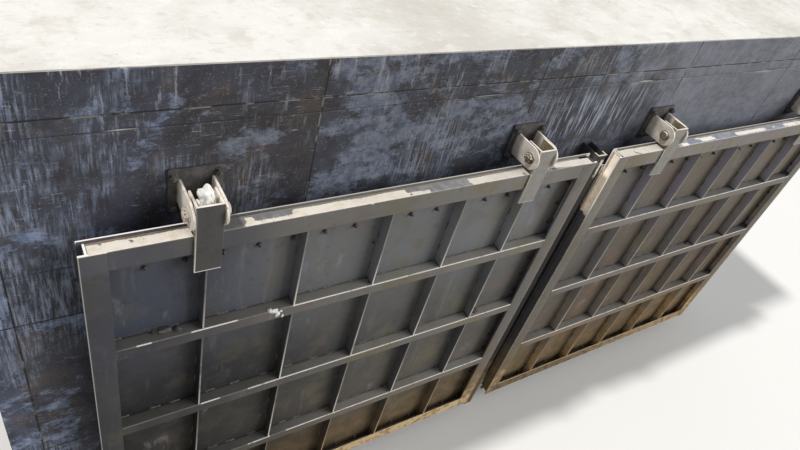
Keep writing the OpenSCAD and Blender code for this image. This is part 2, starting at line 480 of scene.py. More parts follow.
def painted_light_on_sides(f):
    """Painted light and shade on faces that look left, which are the sides of ribs, webs and welds: lightest
    on the right leaf, darker towards the foot of the left leaf
    """
    right_foot = f.pick(f.step(f.x, 0.0, 0.3), 1.0, f.step(f.z, 0.9, 0.5, 1.0, 1.25))
    left_foot = f.pick(f.step(f.z, 0.85, 0.7), 1.0, f.step(f.x, -1.5, -1.0, 0.75, 1.05))
    left = f.times(f.steps(f.z, (2.12, 1.95, 1.5, 1.3), (1.5, 1.35, 1.0, 0.73)), left_foot)
    sides = f.steps(f.x, (-2.5, -0.5, 0.68, 1.45), (0.0, 0.5, 1.0, 1.55), (2.6, 2.7, 1.0, 2.0))
    return f.times(sides, right_foot, f.pick(f.step(f.x, -0.2, 0.0), left, 1.45))


def painted_light_on_fronts(f):
    """Painted light and shade on the front flanges, with the foot of the gate apart"""
    outer_stile = f.pick(f.step(f.x, -2.2, -2.5), 1.0, f.step(f.z, 2.5, 2.56, 1.0, 1.4))
    right_top = f.pick(f.step(f.x, 0.0, 0.2), 1.0, f.step(f.z, 1.9, 2.5, 1.0, 1.15))
    inner_stile = f.pick(f.steps(f.x, (0.0, 0.1), (0.27, 0.22)), 1.0, f.step(f.z, 2.2, 1.9, 1.0, 0.86))
    along = f.steps(f.x, (-1.7, -0.4, 1.0, 1.32), (0.2, 0.6, 0.85, 1.12), (-2.5, -2.0, 1.0, 1.15),
                    (0.8, 1.3, 1.0, 0.93), (-2.4, -2.2, 1.0, 1.1), (-0.35, -0.25, 1.0, 0.91))
    foot = f.steps(f.x, (0.0, 0.2, 1.9, 0.6), (0.8, 2.5, 1.0, 2.2))
    return f.pick(f.step(f.z, 0.27, 0.24), f.times(along, outer_stile, right_top, inner_stile), foot)


def painted_light_and_shade(f):
    """Painted light and shade by the way a face looks and by place: least light at the left, most on the right
    leaf, with painted shade low on the left and at the foot
    """
    plates = f.steps(f.x, (-1.7, -0.5, 1.0, 1.28), (0.2, 0.6, 1.0, 0.87), (1.7, 2.6, 1.0, 1.3))
    tops = f.steps(f.x, (-2.6, -1.1, 0.68, 1.5), (-0.1, 0.2, 1.0, 0.8), (1.8, 2.5, 1.0, 0.72))
    film = f.pick(f.step(f.y, *FRONT_PLANE), plates, painted_light_on_fronts(f))
    film = f.pick(f.times(f.step(f.facing[2], *FACING_UP), f.step(f.z, 2.6, 2.5)), film, tops)
    film = f.pick(f.step(f.facing[0], *FACING_LEFT), film, painted_light_on_sides(f))
    foot = f.step(f.z, 0.85, 0.62)
    low_left = f.times(f.step(f.z, 2.0, 1.2), f.step(f.x, -1.3, -2.2),
                       f.step(f.facing[1], -0.9, -0.5, 0.45, 1.0))
    foot_left = f.times(foot, f.step(f.x, -1.2, -1.9))
    foot_plates = f.times(foot, f.step(f.x, 0.0, -0.2), f.step(f.y, -0.735, -0.728))
    # Painted shade: darker low on the left leaf and at the foot
    damp = ((low_left, 0.35), (foot_left, 0.25), (foot_plates, 0.15))
    return f.times(film, *[f.without(f.times(place, share)) for place, share in damp])


def muddy_foot_with_reflection(f, base, soil, mottle):
    """Mud that climbs from the foot, palest on the front flanges, under a warm cast that is mud colour and a
    painted reflection of the water
    """
    mud = f.blend(f.grain(0.10, 5, 0.6, seed=19), 0.35, 0.65, colours().mud, screen(100, 84, 55))
    crusted = f.blend(mottle, 0.42, 0.62, screen(178, 156, 118), screen(130, 106, 74))
    mud = f.layers(mud, (soil, 0.62, 0.3, f.step(f.y, *FRONT_PLANE), crusted))
    # Painted reflection of the water, with mud colour: a warm cast towards the foot
    base = f.tinge(f.step(soil, 1.3, 0.5, 0.0, 0.35), base, (1.25, 1.0, 0.72))
    return f.layers(base, (soil, 0.78, 0.36, 0.8, mud))


def lit_and_shaded_webs(f, base, patch, mottle):
    """The inner webs beside the post: pale tan at the top as painted sunlight, ending in a sharp painted
    shadow edge, with dark painted shade below it
    """
    tan = f.blend(patch, 0.35, 0.65, screen(220, 210, 196), screen(244, 236, 224))
    tan = f.layers(tan, (mottle, 0.56, 0.66, 0.45, screen(222, 170, 128)))
    # Dimmer near the top, where the lamps themselves light the web
    tan = f.shade(tan, f.step(f.z, 2.46, 2.54, 1.0, 0.78))
    # The painted shadow edge, slanting with depth and a little ragged
    end = f.plus(f.z, f.times(f.y, -0.32), f.step(mottle, 0.3, 0.7, -0.008, 0.008))
    toward_gap = f.step(f.times(f.x, f.facing[0]), -0.08, -0.11)
    face = f.math("MAXIMUM", toward_gap, f.step(f.y, -0.728, -0.724))
    web = f.times(f.step(f.absolute(f.x), 0.140, 0.128), face)
    return f.layers(
        base,
        # Dark painted shade below the shadow edge, fading out near the foot
        (f.z, 0.5, 1.0, f.times(web, 0.7), screen(64, 62, 68)),
        (end, 2.387, 2.394, web, tan))


def dusty_tops(f, base, patch, mottle):
    """Dust on what faces up below the rails, and silt and bare steel on the rails, the bare steel lighter as
    painted sunlight beyond the right leaf's inner hanger
    """
    dust = f.blend(patch, 0.4, 0.6, screen(118, 114, 106), screen(124, 123, 120))
    dust = f.layers(dust, (f.y, -0.738, -0.726, 0.8, screen(62, 54, 46)))
    silt = f.blend(mottle, 0.4, 0.6, screen(140, 120, 98), screen(112, 94, 74))
    silt = f.layers(silt, (f.x, -2.5, -2.3, 0.75, screen(122, 119, 114)))
    bare = f.blend(mottle, 0.4, 0.6, screen(134, 134, 138), screen(112, 110, 110))
    # Painted sunlight: the bare steel beyond the right leaf's inner hanger is lighter
    sunlit_bare = f.blend(mottle, 0.4, 0.6, screen(150, 151, 156), screen(128, 129, 134))
    bare = f.blend(f.x, *FAR_RIGHT, bare, sunlit_bare)
    edge = [f.step(f.x, *FAR_RIGHT, *ys) for ys in ((-0.732, -0.722), (-0.740, -0.730))]
    dust = f.blend(f.z, *RAIL_LEVEL, dust, f.blend(f.y, *edge, silt, bare))
    return f.layers(base, (f.facing[2], *FACING_UP, 0.8, dust))


def painted_steel(name, coat=None, smears=None):
    """Grey primer with dirt, mud at the foot, rust spots, dust on top and cement on worn edges"""
    f, c = Finish(name), colours()
    patch, stain = f.grain(0.16, 5, 0.62, seed=3), f.grain(0.30, 4, 0.6, seed=14)
    mottle, fleck = f.grain(0.05, 4, 0.6, seed=8), f.grain(0.012, 3, 0.6, seed=5)
    runs = f.grain(0.045, 4, 0.6, stretch=(1, 1, 9), seed=2)
    share = f.times(f.step(f.y, *FRONT_PLANE, 0.4, 0.6),
                    f.steps(f.x, (-2.3, -1.6, 0.45, 1.0), (0.0, 0.4, 1.0, 1.4)))
    base = f.layers(
        primer_with_painted_shade(f),
        (patch, 0.5, 0.68, f.step(f.x, -2.6, -1.2, 0.12, 0.5), c.steel_olive),
        (stain, 0.54, 0.66, share, screen(112, 98, 92)),
        (stain, 0.46, 0.36, share, screen(110, 103, 80)),
        (runs, 0.56, 0.72, 0.14, screen(150, 148, 142)),
        (mottle, 0.6, 0.72, 0.25, c.grime))
    left_side = f.step(f.facing[0], *FACING_LEFT)
    # Painted shade: a blue cast on faces that look left, strongest high on the right leaf
    shade_tint_on_sides = f.times(left_side, f.pick(f.step(f.x, 0.1, 0.4), 0.5, f.step(f.z, 1.9, 2.2, 0.35, 0.8)))
    base = f.tinge(shade_tint_on_sides, base, (0.92, 1.0, 1.4))
    if smears:
        base = smears(f, base)
    soil = f.plus(f.z, f.step(patch, 0.2, 0.8, -0.16, 0.16), f.step(mottle, 0.3, 0.7, -0.02, 0.02))
    base = muddy_foot_with_reflection(f, base, soil, mottle)
    base = lit_and_shaded_webs(f, base, patch, mottle)
    base = f.layers(
        base,
        (fleck, 0.70, 0.78, 0.25, c.cement),
        (f.grain(0.03, 5, 0.7, seed=11), 0.7, 0.78, 0.6, c.rust))
    # Painted light and shade by face and place, laid over the dusty colour
    base = f.shade(dusty_tops(f, base, patch, mottle), painted_light_and_shade(f))
    right_side = f.times(f.step(f.x, 0.2, 0.6), f.step(f.z, 1.0, 1.8), f.step(f.y, -0.735, -0.75))
    base = f.tinge(right_side, base, (0.94, 1.0, 1.12))
    if coat:
        base = coat(f)
    broken = f.step(f.grain(0.11, 5, 0.7, seed=4), 0.36, 0.46, 0.5, 1.0)
    wear = f.times(f.reading("wear"), f.math("MAXIMUM", broken, f.step(f.z, *RAIL_LEVEL)))
    base = f.mix(wear, base, f.blend(soil, 0.9, 0.4, screen(246, 241, 232), screen(212, 188, 150)))
    rough = f.plus(f.step(mottle, 0.3, 0.7, 0.56, 0.78), f.times(left_side, 0.16))
    return f.done(base, rough, f.relief((f.grain(0.0022, 2, 0.5), 0.00012), (fleck, 0.0003), (patch, 0.0012)))


def cool_plates(f, base):
    """Bluish streaks, brown ones on the right leaf, and pale smears down the skin plates"""
    streak = f.grain(0.13, 4, 0.6, stretch=(1, 1, 5), seed=27)
    smear = f.grain(0.05, 5, 0.65, stretch=(1, 1, 3), seed=33)
    cool = f.times(f.step(f.z, 1.1, 1.9, 0.1, 1.0), f.step(streak, 0.36, 0.62, 0.25, 1.0))
    base = f.tinge(cool, base, (0.94, 1.03, 1.20))
    brown = f.times(f.step(f.x, *FAR_RIGHT), f.step(streak, 0.3, 0.6, 0.4, 1.0))
    base = f.tinge(brown, base, (1.08, 0.97, 0.84))
    place = f.step(f.grain(0.34, 2, seed=35), 0.54, 0.66, 0.0, 0.4)
    return f.layers(base, (smear, 0.52, 0.66, place, screen(150, 150, 156)))


def sunlit_cemented_ears(f):
    """Ear faces lightened as painted sunlight, with cement on them, most on the first; the rim faces lighter
    still as painted highlights; and the plates dark like the wall, as painted shade behind the ears
    """
    patch = f.grain(0.035, 5, 0.6, seed=21)
    # Painted sunlight: light ear faces, with cement on the first hinge
    face = f.blend(patch, 0.35, 0.65, screen(196, 185, 174), screen(220, 211, 201))
    face = f.layers(face, (patch, 0.3, 0.45, f.step(f.x, *FIRST_HINGE), colours().cement))
    # Painted highlight on the rim faces
    rim_highlights = f.blend(patch, 0.3, 0.6, screen(200, 188, 174), screen(238, 230, 220))
    # Painted shade: dark wall plates behind the ears
    film = f.blend(patch, 0.35, 0.65, screen(66, 64, 66), screen(92, 88, 84))
    return f.blend(f.y, -0.626, -0.613, f.blend(f.absolute(f.facing[0]), 0.8, 0.5, face, rim_highlights), film)


def dusty_hangers(f):
    """A dark strap on the first hanger, dusty straps on the others, brown cheeks and pale rims"""
    first = f.step(f.x, *FIRST_HINGE)
    patch = f.grain(0.045, 5, 0.6, seed=23)
    strap = f.mix(first, screen(150, 148, 143), screen(76, 75, 75))
    strap = f.layers(strap, (patch, 0.45, 0.65, 0.5, f.shade(strap, 0.7)))
    cheek = f.blend(patch, 0.35, 0.65, screen(118, 104, 82), screen(146, 134, 112))
    cheek = f.layers(cheek, (patch, 0.35, 0.5, first, colours().cement))
    at_edge = f.step(f.y, -0.786, -0.789)
    edge = f.blend(patch, 0.3, 0.6, screen(140, 132, 120), screen(214, 208, 198))
    coat = f.blend(f.absolute(f.facing[0]), 0.5, 0.8, strap, f.mix(at_edge, cheek, edge))
    coat = f.layers(coat, (f.facing[2], -0.5, -0.8, at_edge, edge))
    rim = f.blend(patch, 0.3, 0.55, screen(206, 194, 178), screen(238, 230, 218))
    return f.blend(f.facing[2], 0.4, 0.8, coat, rim)


def cement_finish(name):
    """Hardened cement with painted shade that makes it greyest near the left rail's right end, painted light
    that makes it lighter on the right leaf, and whitest on the stringers and the lump
    """
    f = Finish(name)
    patch, smudge = f.grain(0.06, 5, 0.65), f.grain(0.14, 4, 0.6, seed=9)
    grit = f.grain(0.004, 3, 0.6, seed=2)
    base = f.layers(
        colours().cement,
        (patch, 0.42, 0.7, 0.7, screen(214, 200, 180)),
        (smudge, 0.56, 0.7, 0.6, screen(184, 172, 154)),
        (grit, 0.6, 0.7, 0.35, screen(160, 150, 134)),
        (f.x, -2.0, -1.1, 0.6, f.blend(smudge, 0.4, 0.6, screen(206, 200, 192), screen(220, 214, 206))))
    # Painted shade over the left rail and painted light over the right leaf
    along = f.steps(f.x, (-1.0, -0.6, 0.88, 0.78), (-0.56, -0.5, 1.0, 1.12), (0.55, 0.7, 1.0, 1.25))
    base = f.layers(
        f.shade(base, along),
        (f.absolute(f.x), 0.08, 0.06, 0.8, screen(204, 190, 172)),
        (f.z, 2.2, 2.1, 0.85, screen(244, 245, 250)),
        (f.z, 2.70, 2.72, f.step(smudge, 0.64, 0.5), screen(249, 247, 243)))
    height = f.relief((grit, 0.0006), (f.grain(0.015, 4, 0.6, seed=5), 0.0012))
    return f.done(base, f.step(patch, 0.3, 0.7, 0.8, 0.95), height)


def mud_finish(name):
    """Dried mud with pale grit"""
    f = Finish(name)
    patch, grit = f.grain(0.04, 5, 0.6), f.grain(0.004, 3, 0.6, seed=2)
    base = f.blend(patch, 0.35, 0.65, screen(96, 93, 90), screen(70, 68, 67))
    base = f.layers(base, (grit, 0.58, 0.68, 0.4, screen(150, 146, 140)))
    return f.done(base, f.step(patch, 0.3, 0.7, 0.75, 0.95), f.relief((grit, 0.0008), (patch, 0.003)))


def rusty_finish(name, coat):
    """Old rust with scale, then a coat of its own, and mud at the foot"""
    f, c = Finish(name), colours()
    patch, scale = f.grain(0.06, 5, 0.65), f.grain(0.006, 4, 0.65, seed=4)
    base = f.blend(patch, 0.35, 0.65, c.rust_dark, f.blend(scale, 0.4, 0.7, c.rust_dark, c.rust_plain))
    soil = f.plus(f.z, f.step(patch, 0.2, 0.8, -0.2, 0.2))
    base = f.layers(coat(f, base, patch), (soil, 0.7, 0.25, 0.8, c.mud))
    height = f.relief((scale, 0.0008), (patch, 0.001))
    return f.done(base, f.step(scale, 0.3, 0.7, 0.6, 0.92), height, metallic=0.1)


def post_coat(f, base, patch):
    """Grey dirt at the post's top, painted shade that makes it almost black lower down, dark at the back of
    its top, and a pale streak down its front
    """
    wander = f.plus(f.x, f.step(f.grain(0.02, 4, 0.6, seed=13), 0.3, 0.7, -0.006, 0.006))
    ragged = f.plus(f.z, f.times(patch, 0.08))
    run = f.times(f.step(f.z, 2.605, 2.590), f.step(ragged, 2.49, 2.54), f.step(f.y, -0.734, -0.737))
    return f.layers(
        base,
        (patch, 0.4, 0.6, f.step(f.z, 2.40, 2.58), screen(112, 102, 94)),
        # Painted shade: almost black below the top
        (f.z, 2.50, 2.25, 0.85, screen(40, 39, 39)),
        (f.facing[0], *FACING_LEFT, 0.8, screen(92, 89, 91)),
        (f.y, -0.716, -0.700, f.step(f.z, 2.45, 2.55, 0.0, 0.85), screen(56, 54, 58)),
        (wander, 0.012, 0.017, run, screen(232, 227, 220)))


def pin_coat(f, base, patch):
    """Brown dust on the pins, a painted highlight where they face up, and cement over the first one"""
    base = f.mix(f.step(patch, 0.3, 0.6, 0.3, 0.9), base, screen(132, 120, 98))
    return f.layers(
        base,
        # Painted highlight on the upper sides of the pins
        (f.facing[2], 0.2, 0.7, 0.9, screen(232, 224, 214)),
        (patch, 0.25, 0.36, f.step(f.x, *FIRST_HINGE), screen(214, 203, 190)))


def bolt_finish(name):
    """Grey bolts with specks of rust"""
    f = Finish(name)
    patch = f.grain(0.012, 4, 0.6)
    base = f.blend(patch, 0.4, 0.62, screen(66, 65, 64), screen(104, 101, 92))
    base = f.layers(base, (f.grain(0.004, 3, seed=3), 0.6, 0.7, 0.5, colours().rust_plain))
    height = f.relief((f.grain(0.002, 3), 0.0003))
    return f.done(base, f.step(patch, 0.3, 0.7, 0.5, 0.75), height, metallic=0.1)


def rubber_finish(name):
    """Black rubber with grey smudges"""
    f = Finish(name)
    patch = f.grain(0.08, 4, 0.6)
    base = f.layers(colours().rubber, (patch, 0.5, 0.7, 0.4, screen(84, 80, 72)))
    return f.done(base, f.step(patch, 0.3, 0.7, 0.6, 0.85), f.relief((f.grain(0.003, 3), 0.0003)))


def cast_front(f):
    """Front face cast in film-faced shutters: dark panels with scuffs, brushed lime and joints"""
    s = sizes()
    broad, patch = f.grain(0.5, 4, 0.6, seed=31), f.grain(0.14, 6, 0.62, seed=3)
    number, gaps = f.add("ShaderNodeCombineXYZ"), []
    starts, panel = (0.62, -0.16), (s.panel_width, s.panel_height)
    for socket, value, start, size in zip(number.inputs, (f.x, f.z), starts, panel):
        place = f.math("DIVIDE", f.plus(value, start), size)
        f.feed(socket, f.math("FLOOR", place))
        near = f.absolute(f.plus(f.math("FRACT", place), -0.5))
        gaps.append(f.step(near, 0.5 - 0.006 / size, 0.5 - 0.001 / size))
    joint = f.math("MAXIMUM", *gaps)
    draw = f.add("ShaderNodeTexWhiteNoise", noise_dimensions="2D")
    f.feed(draw.inputs["Vector"], number.outputs[0])
    tone = draw.outputs["Value"]
    film = f.grain(0.16, 10, 0.78, stretch=(1.6, 1, 1), seed=5)
    film = f.plus(film, f.step(broad, 0.35, 0.65, -0.05, 0.05), f.step(tone, 0.0, 1.0, -0.03, 0.04))
    pale = f.blend(f.grain(0.05, 6, 0.7, seed=6), 0.38, 0.62, screen(76, 84, 102), screen(118, 124, 138))
    worn = f.step(f.grain(0.06, 8, 0.75, stretch=(2, 1, 1), seed=45), 0.36, 0.6, 0.45, 0.8)
    cluster = f.step(f.grain(0.42, 4, 0.65, seed=17), 0.48, 0.62, 0.0, 0.6)
    middle = f.times(f.steps(f.x, (-0.60, -0.35), (0.45, 0.20)), f.steps(f.z, (2.67, 2.74), (3.05, 2.92)))
    combed = f.grain(0.017, 4, 0.6, stretch=(1, 1, 12), seed=57)
    torn = f.step(f.grain(0.25, 5, 0.65, seed=29), 0.45, 0.6, 0.15, 0.75)
    dark = f.layers(
        f.blend(tone, 0.3, 0.6, colours().concrete_dark, screen(54, 57, 68)),
        (patch, 0.44, 0.62, 0.75, screen(40, 37, 39)),
        (f.grain(0.22, 6, 0.65, seed=15), 0.54, 0.66, 0.6, screen(74, 62, 54)),
        (film, 0.52, 0.60, 0.75, pale),
        (f.plus(f.x, f.step(broad, 0.3, 0.7, -0.5, 0.5)), -0.2, 0.8, worn, screen(124, 127, 138)),
        (f.grain(0.011, 6, 0.75, stretch=(1, 1, 11), seed=4), 0.42, 0.66, cluster, screen(136, 142, 154)),
        (combed, 0.50, 0.40, f.times(middle, 0.75), screen(40, 44, 56)),
        (combed, 0.50, 0.62, f.times(middle, 0.85), screen(146, 152, 168)),
        (f.grain(0.03, 7, 0.72, stretch=(1, 1, 6), seed=8), 0.56, 0.66, f.step(f.z, 2.7, 3.3, 0.0, 0.45),
         screen(160, 162, 166)),
        (f.grain(0.009, 7, 0.78, stretch=(9, 1, 1), seed=23), 0.57, 0.66, torn, screen(150, 152, 158)),
        (f.grain(0.007, 4, 0.7, seed=41), 0.62, 0.70, 0.5, screen(166, 164, 164)))
    # Painted light: the whole front made lighter, most just above the leaves where they shade the wall, a
    # little less on the right
    dark = f.shade(dark, f.times(f.step(f.z, 2.55, 2.85, 1.7, 1.3), f.step(f.x, 0.3, 1.0, 1.0, 0.85)))
    far_left = f.step(f.plus(f.x, f.step(broad, 0.3, 0.7, -0.3, 0.3)), -2.0, -2.6, 0.0, 0.6)
    dark = f.tinge(far_left, dark, (1.35, 1.55, 1.9))
    lime = f.blend(f.grain(0.12, 5, 0.65, seed=37), 0.50, 0.60, screen(36, 34, 34), screen(128, 126, 124))
    return f.mix(joint, dark, lime), joint


def concrete_finish(name):
    """Pale trowelled tops, dark shuttered front, grey sides and a damp foot"""
    f, c = Finish(name), colours()
    broad, patch = f.grain(0.8, 4, 0.6), f.grain(0.14, 6, 0.62, seed=3)
    grit, sand = f.grain(0.006, 4, 0.6, seed=6), f.grain(0.0018, 2, 0.5, seed=9)
    runs = f.grain(0.035, 6, 0.68, stretch=(1, 1, 14), seed=4)
    trowel = f.grain(0.05, 8, 0.76, stretch=(1.6, 1, 1), seed=12)
    pores = f.step(f.pits(0.05), 0.0, 0.09)
    front = f.times(f.step(f.y, -0.588, -0.594), f.step(f.z, 3.279, 3.272))
    side = f.blend(broad, 0.35, 0.65, c.concrete_grey, screen(158, 152, 140))
    side = f.layers(side, (runs, 0.52, 0.7, 0.5, screen(122, 116, 104)))
    pale = f.layers(
        f.blend(broad, 0.35, 0.7, c.concrete_pale, screen(206, 202, 194)),
        (patch, 0.5, 0.68, 0.45, screen(200, 190, 176)),
        (trowel, 0.52, 0.66, 0.4, screen(246, 244, 240)),
        (trowel, 0.47, 0.34, 0.4, screen(196, 186, 174)),
        (f.grain(0.011, 5, 0.7, seed=43), 0.64, 0.72, 0.6, screen(150, 140, 128)))
    base = f.blend(f.facing[2], 0.6, 0.9, side, pale)
    base = f.mix(f.times(f.without(pores), 0.45), base, screen(70, 66, 60))
    dark, joint = cast_front(f)
    tide = f.plus(f.z, f.step(patch, 0.2, 0.8, -0.22, 0.22), f.step(broad, 0.3, 0.7, -0.1, 0.1))
    base = f.layers(
        f.mix(front, base, dark),
        (grit, 0.6, 0.72, 0.18, screen(110, 104, 94)),
        (tide, 0.62, 0.3, 0.8, f.blend(patch, 0.4, 0.6, c.mud, screen(86, 82, 58))))
    height = f.relief((grit, 0.0006), (sand, 0.0002), (patch, 0.002), (pores, 0.0012),
                      (f.times(joint, front), -0.002))
    rough = f.mix(front, f.step(patch, 0.3, 0.7, 0.75, 0.92), f.step(patch, 0.3, 0.7, 0.5, 0.75))
    return f.done(base, rough, height)


MAKERS = {
    "leaf_paint": painted_steel,
    "skin_paint": lambda name: painted_steel(name, smears=cool_plates),
    "ear_paint": lambda name: painted_steel(name, sunlit_cemented_ears),
    "hanger_paint": lambda name: painted_steel(name, dusty_hangers),
    "post_rust": lambda name: rusty_finish(name, post_coat),
    "pin_rust": lambda name: rusty_finish(name, pin_coat),
    "bolt_steel": bolt_finish,
    "seal_black": rubber_finish,
    "cement_crust": cement_finish,
    "dried_mud": mud_finish,
    "cast_concrete": concrete_finish,
}


def finish(name):
    """The named material, made at its first use"""
    return bpy.data.materials.get(name) or MAKERS[name](name)


# Concrete

CONCRETE_NODES = ("base_slab", "left_abutment", "centre_pier", "right_abutment", "headwall", "deck_slab")


def ticks(low, high, far=0.09, near=(0.0, 0.005, 0.014, 0.032)):
    """Grid lines from low to high, close together near both ends"""
    inside = stations(low + near[-1], high - near[-1], far)[1:-1]
    return [low + d for d in near] + inside + [high - d for d in reversed(near)]


def cast_block(node):
    """A cast block with chipped arrises and slightly uneven faces"""
    low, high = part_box(node)
    lines = [ticks(a, b) for a, b in zip(low, high)]
    arris, wave = sizes().edge_chip, sizes().wall_wave
    deep, chip_length, rarity, swell = 0.03, 0.11, 0.32, 2.3

    def weathered(p):
        gap = [min(p[n] - low[n], high[n] - p[n]) for n in range(3)]
        inward = [1 if p[n] - low[n] < high[n] - p[n] else -1 for n in range(3)]
        moved = Vector(p)
        for a, b in ((0, 1), (1, 2), (0, 2)):
            along = 3 - a - b
            chip = arris + deep * max(0.0, lumps(p[along], a + 2 * b + low[a], chip_length, 2) - rarity)
            missing = chip - gap[a] - gap[b]
            if missing > 0:
                moved[a] += inward[a] * missing / 2
                moved[b] += inward[b] * missing / 2
        for n in range(3):
            if gap[n] < 1e-6:
                moved[n] += inward[n] * wave * (1 + noise.noise(Vector(p) * swell))
        return moved

    def draw(bm):
        made = {}

        def corner(key):
            if key not in made:
                made[key] = bm.verts.new(weathered([lines[n][key[n]] for n in range(3)]))
            return made[key]

        for axis in range(3):
            a, b = [n for n in range(3) if n != axis]
            for end in (0, len(lines[axis]) - 1):
                for i in range(len(lines[a]) - 1):
                    for j in range(len(lines[b]) - 1):
                        quad = []
                        for di, dj in ((0, 0), (1, 0), (1, 1), (0, 1)):
                            key = [0, 0, 0]
                            key[axis], key[a], key[b] = end, i + di, j + dj
                            quad.append(corner(tuple(key)))
                        bm.faces.new(quad)
    return draw


class SLUICE_OT_concrete(bpy.types.Operator):
    """Casts the slabs, abutments, pier and headwall"""
    bl_idname = "sluice.concrete"
    bl_label = "Concrete"

    def execute(self, context):
        for node in CONCRETE_NODES:
            piece(node + "_cast", "headworks", cast_block(node), "concrete", "cast_concrete", 50, (node,))
        return {"FINISHED"}


# Fixed steel

class SLUICE_OT_seat_frames(bpy.types.Operator):
    """Finishes the frames that the closed leaves press on"""
    bl_idname = "sluice.seat_frames"
    bl_label = "Seat frames"

    def execute(self, context):
        for side in SIDES:
            node = side + "_seat_frame"
            piece(node + "_plates", "headworks", recut(node, sizes().plate_round), "fixed_steel", "leaf_paint",
                  replaced=(node,))
        return {"FINISHED"}


class SLUICE_OT_centre_post(bpy.types.Operator):
    """Finishes the hollow post between the leaves, with cement round its rim"""
    bl_idname = "sluice.centre_post"
    bl_label = "Centre post"

    def execute(self, context):
        piece("centre_post_steel", "headworks", recut("centre_post", sizes().plate_round), "rusty_post",
              "post_rust", replaced=("centre_post",))
        low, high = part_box("centre_post")
        wall, length, over, grid = levels("centre_post", AXIS_X)[1] - low.x, 0.03, 0.004, 0.003

        def draw(bm):
            def wrap(x, y, h):
                return Vector((x, y, high.z + h))

            def height(x, y):
                inset = min(x - low.x, high.x - x, y - low.y)
                if inset > wall + 0.001 or y > low.y + length + 0.02 * lumps(x, y, 0.03, 3):
                    return -1
                return 0.0012 + 0.001 * lumps(x, y, 0.012, 5)
            crust(bm, wrap, stations(low.x - over, high.x + over, grid), stations(low.y - over, high.y, grid),
                  height)
        piece("centre_post_cement", "headworks", draw, "rusty_post", "cement_crust", 60)
        return {"FINISHED"}


def hex_nut(bm, at, centre, axis, width, spin=0.0):
    """Washer, hexagon nut and the end of its bolt"""
    corner, thread = width / math.sqrt(3), width * 0.31
    washer, nut_h, pitch = 0.0035, width * 0.55, 0.0015
    end = washer + nut_h
    ring = [(-0.0005, corner * 1.14), (washer * 0.8, corner * 1.14), (washer, corner * 1.1)]
    nut = [(washer, corner * 0.95), (washer + 0.0012, corner), (washer + nut_h * 0.86, corner),
           (end, corner * 0.86)]
    turned(bm, at, centre, axis, ring, 20)
    turned(bm, at, centre, axis, nut, 6, spin)
    rows = [(end - 0.002, thread)]
    for k in range(4):
        rows += [(end + pitch * k, thread), (end + pitch * k + 0.0008, thread * 0.9)]
    turned(bm, at, centre, axis, rows + [(end + pitch * 5, thread * 0.8)], 12)


def weld(bm, at, start, end, up, side, leg=None, seed=0):
    """Rippled fillet weld from start to end in the corner between two plates that run along up and side"""
    leg = leg or sizes().weld_leg
    start, end, up, side = Vector(start), Vector(end), Vector(up), Vector(side)
    count = max(4, round((end - start).length / sizes().weld_ripple * 2))
    rings = []
    for n in range(count + 1):
        share = n / count
        middle = start.lerp(end, share)
        fat = leg * (1.0 if n % 2 else 0.84) * (1 + 0.12 * lumps(seed, share * 3, 0.4, 9))
        fat *= min(1.0, 0.55 + 4 * min(share, 1 - share))
        spots = ((-0.15, -0.15), (1, -0.1), (0.8, 0.42), (0.42, 0.8), (-0.1, 1))
        rings.append([at(*(middle + (up * a + side * b) * fat)) for a, b in spots])
    loft(bm, rings)


class SLUICE_OT_brackets(bpy.types.Operator):
    """Finishes the eared brackets and adds their welds and anchor nuts"""
    bl_idname = "sluice.brackets"
    bl_label = "Hinge brackets"

    def execute(self, context):
        draws = random.Random(sizes().seed)
        for number in range(1, 5):
            node = f"hinge_bracket_{number}"
            low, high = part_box(node)
            ears = levels(node, AXIS_X)[1:-1]
            plate_y, middle = levels(node, AXIS_Y)[-2], hinge_centre(number).z
            reach, leg, from_side, from_end = 0.06, 0.008, 0.02, 0.03

            def draw_welds(bm):
                for x, out in ((ears[0], -1), (ears[-1], 1)):
                    weld(bm, as_is, (x, plate_y, middle - reach), (x, plate_y, middle + reach), (out, 0, 0),
                         (0, -1, 0), leg, x)

            def draw_nuts(bm):
                for x in (low.x + from_side, high.x - from_side):
                    for z in (low.z + from_end, high.z - from_end):
                        hex_nut(bm, as_is, (x, plate_y, z), (0, -1, 0), sizes().anchor_width, draws.random())
            piece(node + "_plates", "headworks", recut(node, sizes().plate_round), "hinge_steel", "ear_paint",
                  replaced=(node,))
            piece(node + "_welds", "headworks", draw_welds, "hinge_steel", "ear_paint")
            piece(node + "_anchors", "headworks", draw_nuts, "hinge_steel", "bolt_steel", 30)
        return {"FINISHED"}


def castle_nut(bm, centre, way, radius, height):
    """Hexagon nut whose outer third is cut into six teeth, on the bolt end that fills it"""
    tooth, floor, bore = math.radians(21), height * 0.6, radius * 0.58
    turned(bm, as_is, centre, (way, 0, 0), [(0, radius * 0.93), (0.0015, radius), (floor, radius)], 6)
    place = polar(centre, (way, 0, 0))
    for corner in range(6):
        middle = corner * math.pi / 3
        flat = radius * math.cos(math.pi / 6) / math.cos(math.pi / 6 - tooth)
        shape = [(bore, -tooth), (flat, -tooth), (radius, 0), (flat, tooth), (bore, tooth)]
        loft(bm, [[place(along, r * shrink, middle + a) for r, a in shape]
                  for along, shrink in ((floor - 0.0005, 1), (height - 0.001, 1), (height, 0.97))])
    turned(bm, as_is, centre, (way, 0, 0), [(floor - 0.0005, bore * 0.96), (height + 0.001, bore * 0.96),
                                            (height + 0.0025, bore * 0.86)], 24)


def split_pin(bm, centre, way, radius, wire=0.0022):
    """Split pin through a castle nut: an eye on one side and two bent legs on the other"""
    for bend in (-1, 1):
        path = [(0, radius + 0.001), (0, -radius), (0.004 * bend * way, -radius - 0.004),
                (0.012 * bend, -radius - 0.005)]
        tube(bm, as_is, [centre + Vector((0, wire * bend + a, b)) for a, b in path], wire)
    ring = [2 * math.pi * k / 14 for k in range(15)]
    eye = centre + Vector((0, 0, radius + 0.005))
    tube(bm, as_is, [eye + Vector((0, math.cos(t), math.sin(t))) * 0.005 for t in ring], wire)


